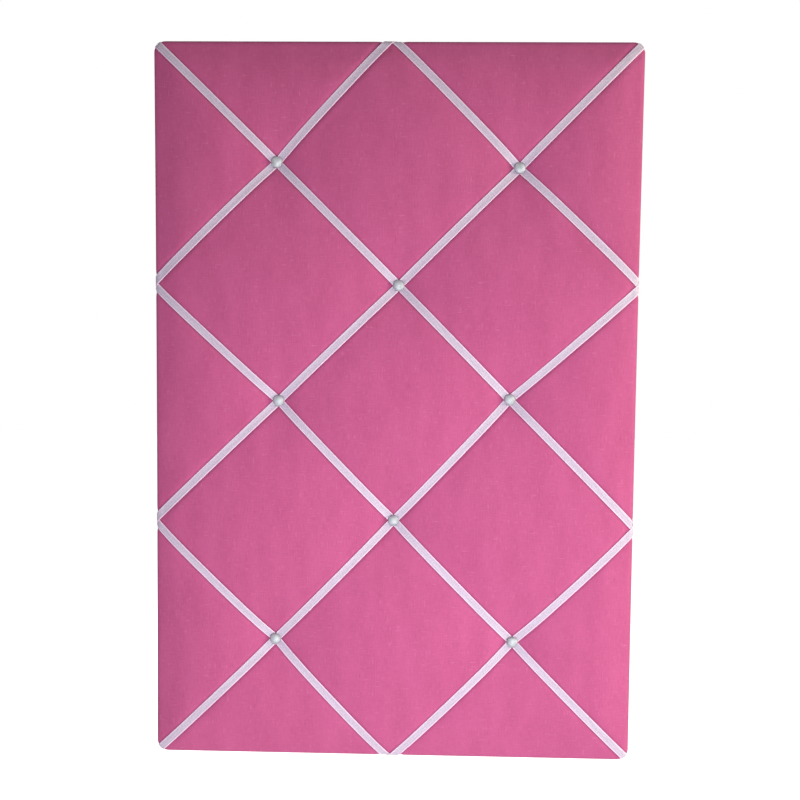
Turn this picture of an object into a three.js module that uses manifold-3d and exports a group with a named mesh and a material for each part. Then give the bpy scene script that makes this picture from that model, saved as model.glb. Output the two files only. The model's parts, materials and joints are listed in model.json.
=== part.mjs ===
// Padded memo board: softboard under wadding and pink cotton, a lattice of satin ribbon held by
// domed nails at its crossings, and two D-ring hangers screwed to the back.
// Millimetres. X runs to the right, Z up, and Y away from the viewer, towards the wall.
// The origin is the middle of the softboard's back face.
import * as THREE from "three";
import { mergeVertices } from "three/addons/utils/BufferGeometryUtils.js";
import Module from "manifold-3d";

// Softboard, wadding and cloth
const boardWidth = 398;
const boardHeight = 593;
const boardThickness = 9;
const boardCornerRadius = 6;
const clothThickness = 0.5;
const waddingAtEdge = 0.9; // wadding pulled thin round the board's edges
const clearance = 0.3; // between pieces that seat on each other
const hemTurnRadius = 1.5; // outside radius of the cloth where it turns onto the back
const hemPastTail = 16; // cloth on the back beyond the ribbons' cut ends

// Height of the cloth's outside over the softboard's front face
const crownHeight = 13; // in the middle of a diamond
const channelHeight = 11; // under a ribbon, half way between two studs
const tuftHeight = 3.2; // at a stud
const rollHeight = 7; // where the front starts to roll over the edge
const tuftSharpness = 2; // the higher, the narrower the dip round a stud

// Lattice: crossings lie on every other point of a grid of columns and rows
const diamondsAcross = 2;
const diamondsDown = 3;
const facetsPerStep = 3; // facets of the padding from one grid line to the next
const rollFacets = 2;
const cornerFacets = 2;
const sideEndSpread = 2; // half the distance between two ribbons where they meet on a long edge
const topEndSpread = 3; // the same on the top and bottom edges

// Ribbons
const ribbonWidth = 6.4;
const ribbonThickness = 0.3;
const ribbonSeat = 0.5; // under ribbon over the cloth, so that its flat underside clears the pillows
const layerRoom = 0.5; // over ribbon above under ribbon, where both dip to a stud
const tailInset = 22; // the ribbons' cut ends on the back, from the board's edge

// Studs: hollow domed nails
const studRadius = 4.75;
const studDomeHeight = 3.2;
const studWall = 0.6;
const studRoom = 1; // rim over the ribbons, which rise away from the nail
const nailRadius = 0.8;
const nailPointLength = 2.5;
const tipCover = 2; // softboard left in front of every driven point
const studSides = 12;
const holeSides = 8;

// Staples
const stapleWire = 0.7;
const stapleWidth = 1.2;
const stapleRoom = 1.1; // between a ribbon's edge and a staple's leg
const tailStapleSetback = 7; // from a ribbon's cut end
const hemStapleFromCut = 14; // from the cloth's cut edge
const hemStapleOffset = 0.65; // from the nearest crossing on the edge, in lattice steps

// Hangers
const hangerSpacing = 260;
const hangerDrop = 76.5; // from the board's top edge to the ring's pivot
const ringWireRadius = 1.2;
const ringInnerWidth = 15;
const ringInnerHeight = 13;
const ringCornerRadius = 2.5; // of the wire's centre line at the ends of the bar
const ringShoulder = 5; // straight side of the ring, from the bar's centre
const ringSides = 8;
const ringArcFacets = 4;
const strapThickness = 0.8;
const strapSideRoom = 0.5; // between the strap and the bends of the ring
const strapBelowScrew = 5;
const loopOverlap = 60; // degrees that the strap's loop runs on below the ring's bar
const loopFade = 2.8; // length over which the loop closes onto the strap
const screwRadius = 1.4;
const screwHeadRadius = 3.2;
const screwHeadHeight = 1.9;
const screwPointLength = 2;
const screwRecessWidth = 0.9;
const screwRecessLength = 3.6;
const screwRecessDepth = 0.9;
const screwToRing = 0.8; // room between the screw's head and the ring hanging down
const screwSides = 16;

// Cutting tools reach this far past the face that they start from
const overcut = 2;
// Points closer than this are one point
const samePlace = 1e-3;

// Where each crossing was set by hand, away from its place on the lattice
const handSet = [
  { column: 2, row: 6, right: -4.5, up: 0 },
  { column: 2, row: 0, right: -1.5, up: 0 },
  { column: 0, row: 2, right: 0, up: 1 },
  { column: 0, row: 4, right: 0, up: 0.5 },
  { column: 4, row: 2, right: 0, up: -1 },
  { column: 4, row: 4, right: 0, up: 1.5 },
  { column: 1, row: 5, right: 1.5, up: 1 },
  { column: 3, row: 5, right: 0, up: -2.5 },
  { column: 2, row: 4, right: 2.5, up: 0.5 },
  { column: 1, row: 3, right: 3.5, up: 3.5 },
  { column: 3, row: 3, right: -5, up: 6.5 },
  { column: 2, row: 2, right: 0, up: 3.5 },
  { column: 1, row: 1, right: 1.5, up: 0.5 },
  { column: 3, row: 1, right: 0.5, up: 1 },
];

// Sizes that follow from the driving dimensions
const edgeBuild = clearance + waddingAtEdge + clearance + clothThickness;
const halfWidth = boardWidth / 2 + edgeBuild;
const halfHeight = boardHeight / 2 + edgeBuild;
const rollRadius = boardCornerRadius + edgeBuild;
const flatX = halfWidth - rollRadius;
const flatZ = halfHeight - rollRadius;
const columns = 2 * diamondsAcross;
const rows = 2 * diamondsDown;
const stepX = (2 * halfWidth) / columns;
const stepZ = (2 * halfHeight) / rows;
const hemY = clearance + clothThickness;
const hemWidth = tailInset + hemPastTail;
const underLift = ribbonSeat;
const overLift = underLift + ribbonThickness + layerRoom;
const waddingLift = -clothThickness - clearance;
const legTipY = -(boardThickness - tipCover);

const wasm = await Module();
wasm.setup();

const memoBoard = new THREE.Group();

function addMesh(name, geometry, finish, parent = memoBoard) {
  const mesh = new THREE.Mesh(geometry, new THREE.MeshStandardMaterial(finish));
  mesh.name = name;
  parent.add(mesh);
  return mesh;
}

const softboardFinish = { color: 0xa98a63, roughness: 0.95, metalness: 0 };
const waddingFinish = { color: 0xf2f0ec, roughness: 1, metalness: 0 };
const cottonFinish = { color: 0xd95f9b, roughness: 0.9, metalness: 0 };
const satinFinish = { color: 0xf1edf2, roughness: 0.45, metalness: 0 };
const nickelFinish = { color: 0xd9dcda, roughness: 0.3, metalness: 1 };
const zincFinish = { color: 0xb9bcc0, roughness: 0.4, metalness: 1 };
const stapleFinish = { color: 0xa9acb0, roughness: 0.35, metalness: 1 };

// Solids for cutting
function solidFrom(geometry) {
  const bare = geometry.clone();
  bare.deleteAttribute("normal");
  bare.deleteAttribute("uv");
  const merged = mergeVertices(bare);
  return new wasm.Manifold(
    new wasm.Mesh({
      numProp: 3,
      vertProperties: merged.attributes.position.array,
      triVerts: new Uint32Array(merged.index.array),
    }),
  );
}

function geometryFrom(solid) {
  const { vertProperties, triVerts } = solid.getMesh();
  const geometry = new THREE.BufferGeometry();
  geometry.setAttribute("position", new THREE.BufferAttribute(vertProperties, 3));
  geometry.setIndex(new THREE.BufferAttribute(triVerts, 1));
  geometry.computeVertexNormals();
  return geometry;
}

function cut(geometry, cutters) {
  const solid = cutters.reduce((rest, cutter) => rest.subtract(cutter), solidFrom(geometry));
  return geometryFrom(solid);
}

// Round hole along Y from one depth to another
function drill(x, z, radius, fromY, toY) {
  const geometry = new THREE.CylinderGeometry(radius, radius, toY - fromY, holeSides);
  geometry.translate(x, (fromY + toY) / 2, z);
  return solidFrom(geometry);
}

// Triangles gathered as plain points; the ones that collapse to a line are left out
function addTriangle(points, a, b, c) {
  if (a.equals(b) || b.equals(c) || c.equals(a)) {
    return;
  }
  points.push(a, b, c);
}

function addQuad(points, a, b, c, d) {
  addTriangle(points, a, b, c);
  addTriangle(points, a, c, d);
}

function stitch(points, ring, nextRing) {
  ring.forEach((point, k) => {
    const after = (k + 1) % ring.length;
    addQuad(points, point, nextRing[k], nextRing[after], ring[after]);
  });
}

function geometryOf(points) {
  return new THREE.BufferGeometry().setFromPoints(points);
}

// Plan of a lattice point, with the hand-set shifts spread evenly between crossings.
// Each grid square is split along the ribbon that runs through it, so ribbons stay straight.
function crossingShift(column, row) {
  const moved = handSet.find((shift) => shift.column === column && shift.row === row);
  return moved ? new THREE.Vector2(moved.right, moved.up) : new THREE.Vector2();
}

function risesThrough(column, row) {
  return (column + row) % 2 === 0;
}

function plan(column, row) {
  const left = Math.min(Math.floor(column), columns - 1);
  const low = Math.min(Math.floor(row), rows - 1);
  const u = column - left;
  const v = row - low;
  const lowLeft = crossingShift(left, low);
  const lowRight = crossingShift(left + 1, low);
  const topLeft = crossingShift(left, low + 1);
  const topRight = crossingShift(left + 1, low + 1);
  const shift = new THREE.Vector2();
  if (risesThrough(left, low)) {
    const side = u >= v ? lowRight : topLeft;
    shift.addScaledVector(lowLeft, 1 - Math.max(u, v));
    shift.addScaledVector(side, Math.abs(u - v));
    shift.addScaledVector(topRight, Math.min(u, v));
  } else {
    const corner = u + v <= 1 ? lowLeft : topRight;
    const fromCorner = u + v <= 1 ? u + v : 2 - u - v;
    shift.addScaledVector(corner, 1 - fromCorner);
    shift.addScaledVector(lowRight, u + v <= 1 ? u : 1 - v);
    shift.addScaledVector(topLeft, u + v <= 1 ? v : 1 - u);
  }
  return shift.add(new THREE.Vector2(column * stepX - halfWidth, row * stepZ - halfHeight));
}

// Height of the padding: pillows between the ribbons, dips at the studs, none on the edges
function clothHeight(column, row) {
  const fromEdge = Math.min(column, columns - column, row, rows - row);
  if (fromEdge <= 0) {
    return rollHeight;
  }
  const falling = (Math.PI * (column + row)) / 2;
  const rising = (Math.PI * (column - row)) / 2;
  const pillow = Math.abs(Math.sin(falling) * Math.sin(rising));
  const tuft = (Math.cos(falling) * Math.cos(rising)) ** (2 * tuftSharpness) * Math.min(1, fromEdge);
  const channel = tuftHeight + (channelHeight - tuftHeight) * (1 - tuft);
  return channel + (crownHeight - channelHeight) * pillow;
}

// A panel's grid points and its rim, which runs round the flat part of the front with outward normals
function makePanel(facets) {
  const across = columns * facets;
  const down = rows * facets;
  const grid = [];
  for (let a = 0; a <= across; a++) {
    grid.push([]);
    for (let b = 0; b <= down; b++) {
      const place = plan(a / facets, b / facets);
      const x = a === 0 ? -flatX : a === across ? flatX : place.x;
      const z = b === 0 ? -flatZ : b === down ? flatZ : place.y;
      const height = clothHeight(a / facets, b / facets);
      grid[a].push({
        x: THREE.MathUtils.clamp(x, -flatX, flatX),
        z: THREE.MathUtils.clamp(z, -flatZ, flatZ),
        height,
      });
    }
  }
  const sides = [
    grid.map((line) => line[0]),
    grid[across],
    grid.map((line) => line[down]).reverse(),
    [...grid[0]].reverse(),
  ];
  const rim = [];
  sides.forEach((side, quarter) => {
    const facing = (quarter - 1) * (Math.PI / 2);
    side.forEach((place) => rim.push({ place, facing }));
    for (let k = 1; k < cornerFacets; k++) {
      const turned = facing + (k / cornerFacets) * (Math.PI / 2);
      rim.push({ place: side[side.length - 1], facing: turned });
    }
  });
  return { grid, facets, rim };
}

// The rim moved outwards round the corners, or inwards as a plain rectangle
function rimRing(panel, { out, y }) {
  return panel.rim.map(({ place, facing }) => {
    if (out <= 0) {
      const x = THREE.MathUtils.clamp(place.x, -flatX - out, flatX + out);
      const z = THREE.MathUtils.clamp(place.z, -flatZ - out, flatZ + out);
      return new THREE.Vector3(x, y, z);
    }
    return new THREE.Vector3(place.x + out * Math.cos(facing), y, place.z + out * Math.sin(facing));
  });
}

function addCap(points, panel, depth, facesBack) {
  const at = (a, b) => {
    const place = panel.grid[a][b];
    return new THREE.Vector3(place.x, depth(place), place.z);
  };
  for (let a = 0; a + 1 < panel.grid.length; a++) {
    for (let b = 0; b + 1 < panel.grid[a].length; b++) {
      const corners = [at(a, b), at(a + 1, b), at(a + 1, b + 1), at(a, b + 1)];
      if (!risesThrough(Math.floor(a / panel.facets), Math.floor(b / panel.facets))) {
        corners.push(corners.shift());
      }
      const [p, q, r, s] = corners;
      if (facesBack) {
        addQuad(points, p, s, r, q);
      } else {
        addQuad(points, p, q, r, s);
      }
    }
  }
}

function panelGeometry(panel, frontDepth, rings, backDepth) {
  const points = [];
  addCap(points, panel, frontDepth, false);
  const loops = rings.map((ring) => rimRing(panel, ring));
  for (let k = 0; k + 1 < loops.length; k++) {
    stitch(points, loops[k], loops[k + 1]);
  }
  addCap(points, panel, backDepth, true);
  return geometryOf(points);
}

// The skin's section past the flat front, lifted off the cloth: roll over the edge, then turn onto the back
function quarterTurn(facets) {
  return Array.from({ length: facets + 1 }, (_, k) => (k / facets) * (Math.PI / 2));
}

const rollRings = quarterTurn(rollFacets).map((angle) => (lift) => ({
  out: (rollRadius + lift) * Math.sin(angle),
  y: -boardThickness - (rollHeight + lift) * Math.cos(angle),
}));

const turnRings = quarterTurn(1).map((angle) => (lift) => ({
  out: rollRadius - hemTurnRadius + (hemTurnRadius + lift) * Math.cos(angle),
  y: hemY - hemTurnRadius + (hemTurnRadius + lift) * Math.sin(angle),
}));

const backRing = (inset) => (lift) => ({ out: rollRadius - inset, y: hemY + lift });

const frontDepth = (lift) => (place) => -boardThickness - place.height - lift;

// Studs stand on every crossing inside the edges
const studPlaces = [];
for (let row = rows - 1; row >= 1; row--) {
  for (let column = 1; column < columns; column++) {
    if (risesThrough(column, row)) {
      studPlaces.push({ column, row, at: plan(column, row) });
    }
  }
}

const nailHoles = studPlaces.map(({ at }) =>
  drill(
    at.x,
    at.y,
    nailRadius + clearance,
    -boardThickness - crownHeight - overcut,
    -tipCover + clearance,
  ),
);

// Ribbons: every diagonal of the lattice, falling ones first and rising ones over them
function latticePoints(first, last) {
  const count = Math.abs(last[0] - first[0]);
  const risesBy = Math.sign(last[1] - first[1]);
  return Array.from({ length: count + 1 }, (_, k) => [first[0] + k, first[1] + k * risesBy]);
}

const ribbonRuns = [];
for (let sum = 2; sum <= columns + rows - 2; sum += 2) {
  const first = [Math.max(0, sum - rows), Math.min(rows, sum)];
  const last = [Math.min(columns, sum), Math.max(0, sum - columns)];
  ribbonRuns.push({ name: "under_ribbon", crossings: latticePoints(first, last), lift: underLift });
}
for (let difference = 2 - rows; difference <= columns - 2; difference += 2) {
  const first = [Math.max(0, difference), Math.max(0, -difference)];
  const last = [Math.min(columns, rows + difference), Math.min(rows, columns - difference)];
  ribbonRuns.push({ name: "over_ribbon", crossings: latticePoints(first, last), lift: overLift });
}

// How far a plan point lies beyond the flat part of the front; negative inside it
function beyondFlat(point) {
  const x = Math.abs(point.x) - flatX;
  const z = Math.abs(point.y) - flatZ;
  return x > 0 && z > 0 ? Math.hypot(x, z) : Math.max(x, z);
}

// The point on an outward line that lies a given distance beyond the flat part
function reach(start, direction, out) {
  const halvings = 48;
  let near = 0;
  let far = boardWidth + boardHeight;
  for (let k = 0; k < halvings; k++) {
    const middle = (near + far) / 2;
    const inside = beyondFlat(start.clone().addScaledVector(direction, middle)) < out;
    near = inside ? middle : near;
    far = inside ? far : middle;
  }
  return start.clone().addScaledVector(direction, near);
}

// Where a ribbon's centre line meets the outline: beside the edge's mark, on the ribbon's own side
function anchorOf(end, before) {
  const anchor = plan(end[0], end[1]);
  const onSide = end[0] === 0 || end[0] === columns;
  const onTopOrBottom = end[1] === 0 || end[1] === rows;
  if (onSide && !onTopOrBottom) {
    anchor.y += sideEndSpread * Math.sign(before[1] - end[1]);
  }
  if (onTopOrBottom && !onSide) {
    anchor.x += topEndSpread * Math.sign(before[0] - end[0]);
  }
  return anchor;
}

function outwardOf(end) {
  const x = end[0] === 0 ? -1 : end[0] === columns ? 1 : 0;
  const z = end[1] === 0 ? -1 : end[1] === rows ? 1 : 0;
  return new THREE.Vector2(x, z);
}

// A ribbon's way out from its last stud. Over an edge it stays straight on the cloth laid flat, so it
// slips along the edge as it turns and comes back on the other slant. Over a corner it runs straight back.
function leadOut(crossings) {
  const [end, before] = crossings;
  const stud = plan(before[0], before[1]);
  const mark = anchorOf(end, before);
  const outward = outwardOf(end);
  const atCorner = outward.x !== 0 && outward.y !== 0;
  const along = mark.clone().sub(stud).normalize();
  const across = new THREE.Vector2(-along.y, along.x);
  const edge = new THREE.Vector2(-outward.y, outward.x);
  const slip = along.dot(edge) / along.dot(outward);
  const place = (offset, out, length) => {
    const from = stud.clone().addScaledVector(across, offset);
    if (atCorner) {
      return reach(from, along, out);
    }
    return reach(from, along, 0).addScaledVector(outward, out).addScaledVector(edge, slip * length);
  };
  const tail = along.clone().addScaledVector(outward, atCorner ? 0 : -2 * along.dot(outward));
  return { place, mark, tailAcross: new THREE.Vector2(-tail.y, tail.x) };
}

// Length of the skin's section from the flat front to each ring
function skinLengths(rings) {
  const places = rings.map((ring) => ring(0));
  const lengths = [0];
  for (let k = 1; k < places.length; k++) {
    const stepOut = places[k].out - places[k - 1].out;
    const stepY = places[k].y - places[k - 1].y;
    lengths.push(lengths[k - 1] + Math.hypot(stepOut, stepY));
  }
  return lengths;
}

// A row of a ribbon is a function from the place across its width, -1 to 1, and the lift to a point
function wrapRows(lead, mirrored, inset) {
  const rings = [...rollRings, ...turnRings, backRing(inset)];
  const lengths = skinLengths(rings);
  return rings.map((ring, k) => (side, lift) => {
    const { out, y } = ring(lift);
    const offset = (mirrored ? -side : side) * (ribbonWidth / 2);
    const place = lead.place(offset, out, lengths[k]);
    return new THREE.Vector3(place.x, y, place.y);
  });
}

function frontRows(crossings, firstMark, lastMark) {
  const marks = crossings.map(([column, row]) => plan(column, row));
  marks[0] = firstMark;
  marks[marks.length - 1] = lastMark;
  const stations = [];
  for (let k = 0; k + 1 < crossings.length; k++) {
    for (let f = 0; f < facetsPerStep; f++) {
      const part = f / facetsPerStep;
      const column = THREE.MathUtils.lerp(crossings[k][0], crossings[k + 1][0], part);
      const row = THREE.MathUtils.lerp(crossings[k][1], crossings[k + 1][1], part);
      stations.push({ at: marks[k].clone().lerp(marks[k + 1], part), height: clothHeight(column, row) });
    }
  }
  stations.push({ at: marks[marks.length - 1] });
  return stations.slice(1, -1).map(({ at, height }, k) => {
    const along = stations[k + 2].at.clone().sub(stations[k].at).normalize();
    return (side, lift) => {
      const offset = side * (ribbonWidth / 2);
      return new THREE.Vector3(
        at.x - along.y * offset,
        -boardThickness - height - lift,
        at.y + along.x * offset,
      );
    };
  });
}

function ribbonGeometry({ crossings, lift }) {
  const first = leadOut(crossings);
  const last = leadOut([...crossings].reverse());
  const ribbonRows = [
    ...wrapRows(first, true, tailInset).reverse(),
    ...frontRows(crossings, first.mark, last.mark),
    ...wrapRows(last, false, tailInset),
  ];
  const points = [];
  const faces = ribbonRows.map((row) => ({
    top: [-1, 0, 1].map((side) => row(side, lift + ribbonThickness)),
    bottom: [-1, 0, 1].map((side) => row(side, lift)),
  }));
  for (let k = 0; k + 1 < faces.length; k++) {
    const a = faces[k];
    const b = faces[k + 1];
    for (let s = 0; s < 2; s++) {
      addQuad(points, a.top[s], b.top[s], b.top[s + 1], a.top[s + 1]);
      addQuad(points, a.bottom[s], a.bottom[s + 1], b.bottom[s + 1], b.bottom[s]);
    }
    addQuad(points, a.top[2], b.top[2], b.bottom[2], a.bottom[2]);
    addQuad(points, a.top[0], a.bottom[0], b.bottom[0], b.top[0]);
  }
  const start = faces[0];
  const end = faces[faces.length - 1];
  for (let s = 0; s < 2; s++) {
    addQuad(points, start.top[s], start.top[s + 1], start.bottom[s + 1], start.bottom[s]);
    addQuad(points, end.top[s], end.bottom[s], end.bottom[s + 1], end.top[s + 1]);
  }
  return geometryOf(points);
}

const ribbonCounts = { under_ribbon: 0, over_ribbon: 0 };
for (const run of ribbonRuns) {
  ribbonCounts[run.name] += 1;
  const name = `${run.name}_${ribbonCounts[run.name]}`;
  addMesh(name, cut(ribbonGeometry(run), nailHoles), satinFinish);
}

// Staples: one across each ribbon tail, and a row through the cloth's hem
const stapleInside = ribbonWidth / 2 + stapleRoom;
const stapleOutside = stapleInside + stapleWire;
const staplePlaces = [];

for (const { crossings, lift } of ribbonRuns) {
  for (const run of [crossings, [...crossings].reverse()]) {
    const lead = leadOut(run);
    const middle = wrapRows(lead, false, tailInset - tailStapleSetback).pop()(0, lift);
    const at = new THREE.Vector2(middle.x, middle.z);
    const crownY = hemY + lift + ribbonThickness + clearance;
    staplePlaces.push({ kind: "ribbon_staple", at, across: lead.tailAcross, crownY });
  }
}

function stapleMarks(steps) {
  const marks = [];
  for (let crossing = 0; crossing < steps; crossing += 2) {
    const isMiddle = crossing + 1 === steps / 2;
    const offsets = isMiddle ? [1] : [hemStapleOffset, 2 - hemStapleOffset];
    offsets.forEach((offset) => marks.push((crossing + offset) / steps));
  }
  return marks;
}

const hemStapleInset = hemWidth - hemStapleFromCut;
for (const side of [-1, 1]) {
  for (const mark of stapleMarks(columns)) {
    const at = new THREE.Vector2((2 * mark - 1) * halfWidth, side * (halfHeight - hemStapleInset));
    staplePlaces.push({ kind: "hem_staple", at, across: new THREE.Vector2(1, 0), crownY: hemY + clearance });
  }
  for (const mark of stapleMarks(rows)) {
    const at = new THREE.Vector2(side * (halfWidth - hemStapleInset), (2 * mark - 1) * halfHeight);
    staplePlaces.push({ kind: "hem_staple", at, across: new THREE.Vector2(0, 1), crownY: hemY + clearance });
  }
}

function stapleGeometry(crownY) {
  const outline = new THREE.Shape([
    new THREE.Vector2(-stapleOutside, legTipY),
    new THREE.Vector2(-stapleInside, legTipY),
    new THREE.Vector2(-stapleInside, crownY),
    new THREE.Vector2(stapleInside, crownY),
    new THREE.Vector2(stapleInside, legTipY),
    new THREE.Vector2(stapleOutside, legTipY),
    new THREE.Vector2(stapleOutside, crownY + stapleWire),
    new THREE.Vector2(-stapleOutside, crownY + stapleWire),
  ]);
  const geometry = new THREE.ExtrudeGeometry(outline, { depth: stapleWidth, bevelEnabled: false });
  return geometry.translate(0, 0, -stapleWidth / 2);
}

const legHoles = [];
const stapleCounts = { ribbon_staple: 0, hem_staple: 0 };
for (const { kind, at, across, crownY } of staplePlaces) {
  stapleCounts[kind] += 1;
  const staple = addMesh(`${kind}_${stapleCounts[kind]}`, stapleGeometry(crownY), stapleFinish);
  staple.position.set(at.x, 0, at.y);
  staple.rotation.y = Math.atan2(-across.y, across.x);
  staple.updateMatrix();
  for (const side of [-1, 1]) {
    const holeBottom = legTipY - clearance;
    const holeTop = hemY + overcut;
    const hole = new THREE.BoxGeometry(
      stapleWire + 2 * clearance,
      holeTop - holeBottom,
      stapleWidth + 2 * clearance,
    );
    hole.translate(side * (stapleInside + stapleWire / 2), (holeTop + holeBottom) / 2, 0);
    legHoles.push(solidFrom(hole.applyMatrix4(staple.matrix)));
  }
}

// Hangers: a folded strap, a D-shaped wire ring whose bar turns in the strap's loop, and a screw
const loopRadius = ringWireRadius + clearance + strapThickness;
const pivotY = loopRadius;
const pivotZ = halfHeight - hangerDrop;
const ringHalfWidth = ringInnerWidth / 2 + ringWireRadius;
const ringReach = ringInnerHeight + 2 * ringWireRadius;
const ringLean = Math.asin((pivotY - ringWireRadius - clearance) / ringReach);
const strapWidth = 2 * (ringHalfWidth - ringCornerRadius - strapSideRoom);
const strapFold = 2 * strapThickness;
const screwDrop = ringReach + ringWireRadius + screwToRing + screwHeadRadius;
const screwTipY = -(boardThickness - tipCover);

// Section of the strap across its loop, with the hole for the ring's bar
function strapGeometry() {
  const section = new THREE.Shape();
  const loopEnd = -THREE.MathUtils.degToRad(loopOverlap);
  section.moveTo(0, -screwDrop - strapBelowScrew);
  section.lineTo(strapFold, -screwDrop - strapBelowScrew);
  section.lineTo(strapFold, loopRadius * Math.sin(loopEnd) - loopFade);
  section.absarc(pivotY, 0, loopRadius, loopEnd, Math.PI, false);
  const bar = new THREE.Path();
  bar.absarc(pivotY, 0, ringWireRadius + clearance, 0, 2 * Math.PI, true);
  section.holes.push(bar);
  const options = { depth: strapWidth, bevelEnabled: false, curveSegments: ringArcFacets };
  const geometry = new THREE.ExtrudeGeometry(section, options);
  geometry.applyMatrix4(
    new THREE.Matrix4().makeBasis(
      new THREE.Vector3(0, 1, 0),
      new THREE.Vector3(0, 0, 1),
      new THREE.Vector3(1, 0, 0),
    ),
  );
  geometry.translate(-strapWidth / 2, 0, 0);
  const screwHole = drill(0, -screwDrop, screwRadius + clearance, -overcut, strapFold + overcut);
  return cut(geometry, [screwHole]);
}

// Wire bent to a D: the bar below, straight shoulders and a half ellipse above
function ringGeometry() {
  const bend = ringCornerRadius;
  const centreLine = new THREE.Path();
  centreLine.moveTo(bend - ringHalfWidth, 0);
  centreLine.absarc(ringHalfWidth - bend, bend, bend, -Math.PI / 2, 0, false);
  centreLine.absellipse(0, ringShoulder, ringHalfWidth, ringReach - ringShoulder, 0, Math.PI, false);
  centreLine.absarc(bend - ringHalfWidth, bend, bend, Math.PI, 1.5 * Math.PI, false);
  const places = centreLine.getPoints(ringArcFacets);
  const loop = places.filter((place, k) => k > 0 && place.distanceTo(places[k - 1]) > samePlace);
  const sections = loop.map((place, k) => {
    const before = loop[(k + loop.length - 1) % loop.length];
    const after = loop[(k + 1) % loop.length];
    const along = after.clone().sub(before).normalize();
    return Array.from({ length: ringSides }, (_, side) => {
      const angle = (side / ringSides) * 2 * Math.PI;
      const out = ringWireRadius * Math.cos(angle);
      const y = ringWireRadius * Math.sin(angle);
      return new THREE.Vector3(place.x + along.y * out, y, place.y - along.x * out);
    });
  });
  const points = [];
  sections.forEach((section, k) => stitch(points, sections[(k + 1) % sections.length], section));
  return geometryOf(points);
}

// Pan-head screw along Y, its head outside the strap and its point in the softboard
function screwGeometry() {
  const seatY = strapFold + clearance;
  const dome = screwHeadHeight / 2;
  const profile = [
    new THREE.Vector2(0, screwTipY),
    new THREE.Vector2(screwRadius, screwTipY + screwPointLength),
    new THREE.Vector2(screwRadius, seatY),
    new THREE.Vector2(screwHeadRadius, seatY),
    new THREE.Vector2(screwHeadRadius, seatY + dome),
    new THREE.Vector2(screwHeadRadius - dome, seatY + screwHeadHeight),
    new THREE.Vector2(0, seatY + screwHeadHeight),
  ];
  const top = seatY + screwHeadHeight;
  const recess = [0, Math.PI / 2].map((turn) => {
    const bar = new THREE.BoxGeometry(screwRecessLength, 2 * screwRecessDepth, screwRecessWidth);
    return solidFrom(bar.rotateY(turn).translate(0, top, 0));
  });
  return cut(new THREE.LatheGeometry(profile, screwSides), recess);
}

const screwHoles = [];
for (const [hand, side] of [["left", -1], ["right", 1]]) {
  const x = (side * hangerSpacing) / 2;
  const strap = addMesh(`hanger_strap_${hand}`, strapGeometry(), zincFinish);
  strap.position.set(x, 0, pivotZ);
  const pivot = new THREE.Group();
  pivot.position.set(x, pivotY, pivotZ);
  pivot.rotation.x = ringLean;
  memoBoard.add(pivot);
  addMesh(`hanger_ring_${hand}`, ringGeometry(), zincFinish, pivot);
  const screw = addMesh(`hanger_screw_${hand}`, screwGeometry(), zincFinish);
  screw.position.set(x, 0, pivotZ - screwDrop);
  screwHoles.push(drill(x, pivotZ - screwDrop, screwRadius + clearance, screwTipY - clearance, overcut));
}

// Studs: a hollow dome with its nail, facing the viewer
const studSeat = overLift + ribbonThickness + studRoom;

function studGeometry() {
  const domeFacets = 5;
  const rimY = boardThickness + tuftHeight + studSeat;
  const innerRadius = studRadius - studWall;
  const innerHeight = studDomeHeight - studWall;
  const profile = [
    new THREE.Vector2(0, tipCover),
    new THREE.Vector2(nailRadius, tipCover + nailPointLength),
    new THREE.Vector2(nailRadius, rimY + innerHeight * Math.sqrt(1 - (nailRadius / innerRadius) ** 2)),
  ];
  const narrowest = Math.asin(nailRadius / innerRadius);
  for (let k = 1; k < domeFacets; k++) {
    const angle = THREE.MathUtils.lerp(narrowest, Math.PI / 2, k / (domeFacets - 1));
    profile.push(new THREE.Vector2(innerRadius * Math.sin(angle), rimY + innerHeight * Math.cos(angle)));
  }
  for (let k = domeFacets; k >= 1; k--) {
    const angle = (k / domeFacets) * (Math.PI / 2);
    profile.push(new THREE.Vector2(studRadius * Math.sin(angle), rimY + studDomeHeight * Math.cos(angle)));
  }
  profile.push(new THREE.Vector2(0, rimY + studDomeHeight));
  return new THREE.LatheGeometry(profile, studSides).rotateX(Math.PI);
}

studPlaces.forEach(({ at }, k) => {
  const stud = addMesh(`stud_${k + 1}`, studGeometry(), nickelFinish);
  stud.position.set(at.x, 0, at.y);
});

// Softboard: a flat panel with the holes that the nails, screws and staples have made
const boardPanel = makePanel(1);
const boardRings = [
  { out: 0, y: -boardThickness },
  { out: boardCornerRadius, y: -boardThickness },
  { out: boardCornerRadius, y: 0 },
  { out: 0, y: 0 },
];
const boardBlank = panelGeometry(boardPanel, () => -boardThickness, boardRings, () => 0);
addMesh("softboard", cut(boardBlank, [...nailHoles, ...screwHoles, ...legHoles]), softboardFinish);

// Wadding: a pad over the front with a thin skirt round the board's edges
const padPanel = makePanel(facetsPerStep);
const padInnerY = -boardThickness - clearance;
const skirtY = hemY - hemTurnRadius - clearance;
const skirtInside = boardCornerRadius + clearance;
const waddingRings = [
  ...rollRings.map((ring) => ring(waddingLift)),
  { out: rollRadius + waddingLift, y: skirtY },
  { out: skirtInside, y: skirtY },
  { out: skirtInside, y: padInnerY },
  { out: 0, y: padInnerY },
];
const waddingBlank = panelGeometry(padPanel, frontDepth(waddingLift), waddingRings, () => padInnerY);
addMesh("wadding", cut(waddingBlank, nailHoles), waddingFinish);

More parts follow.
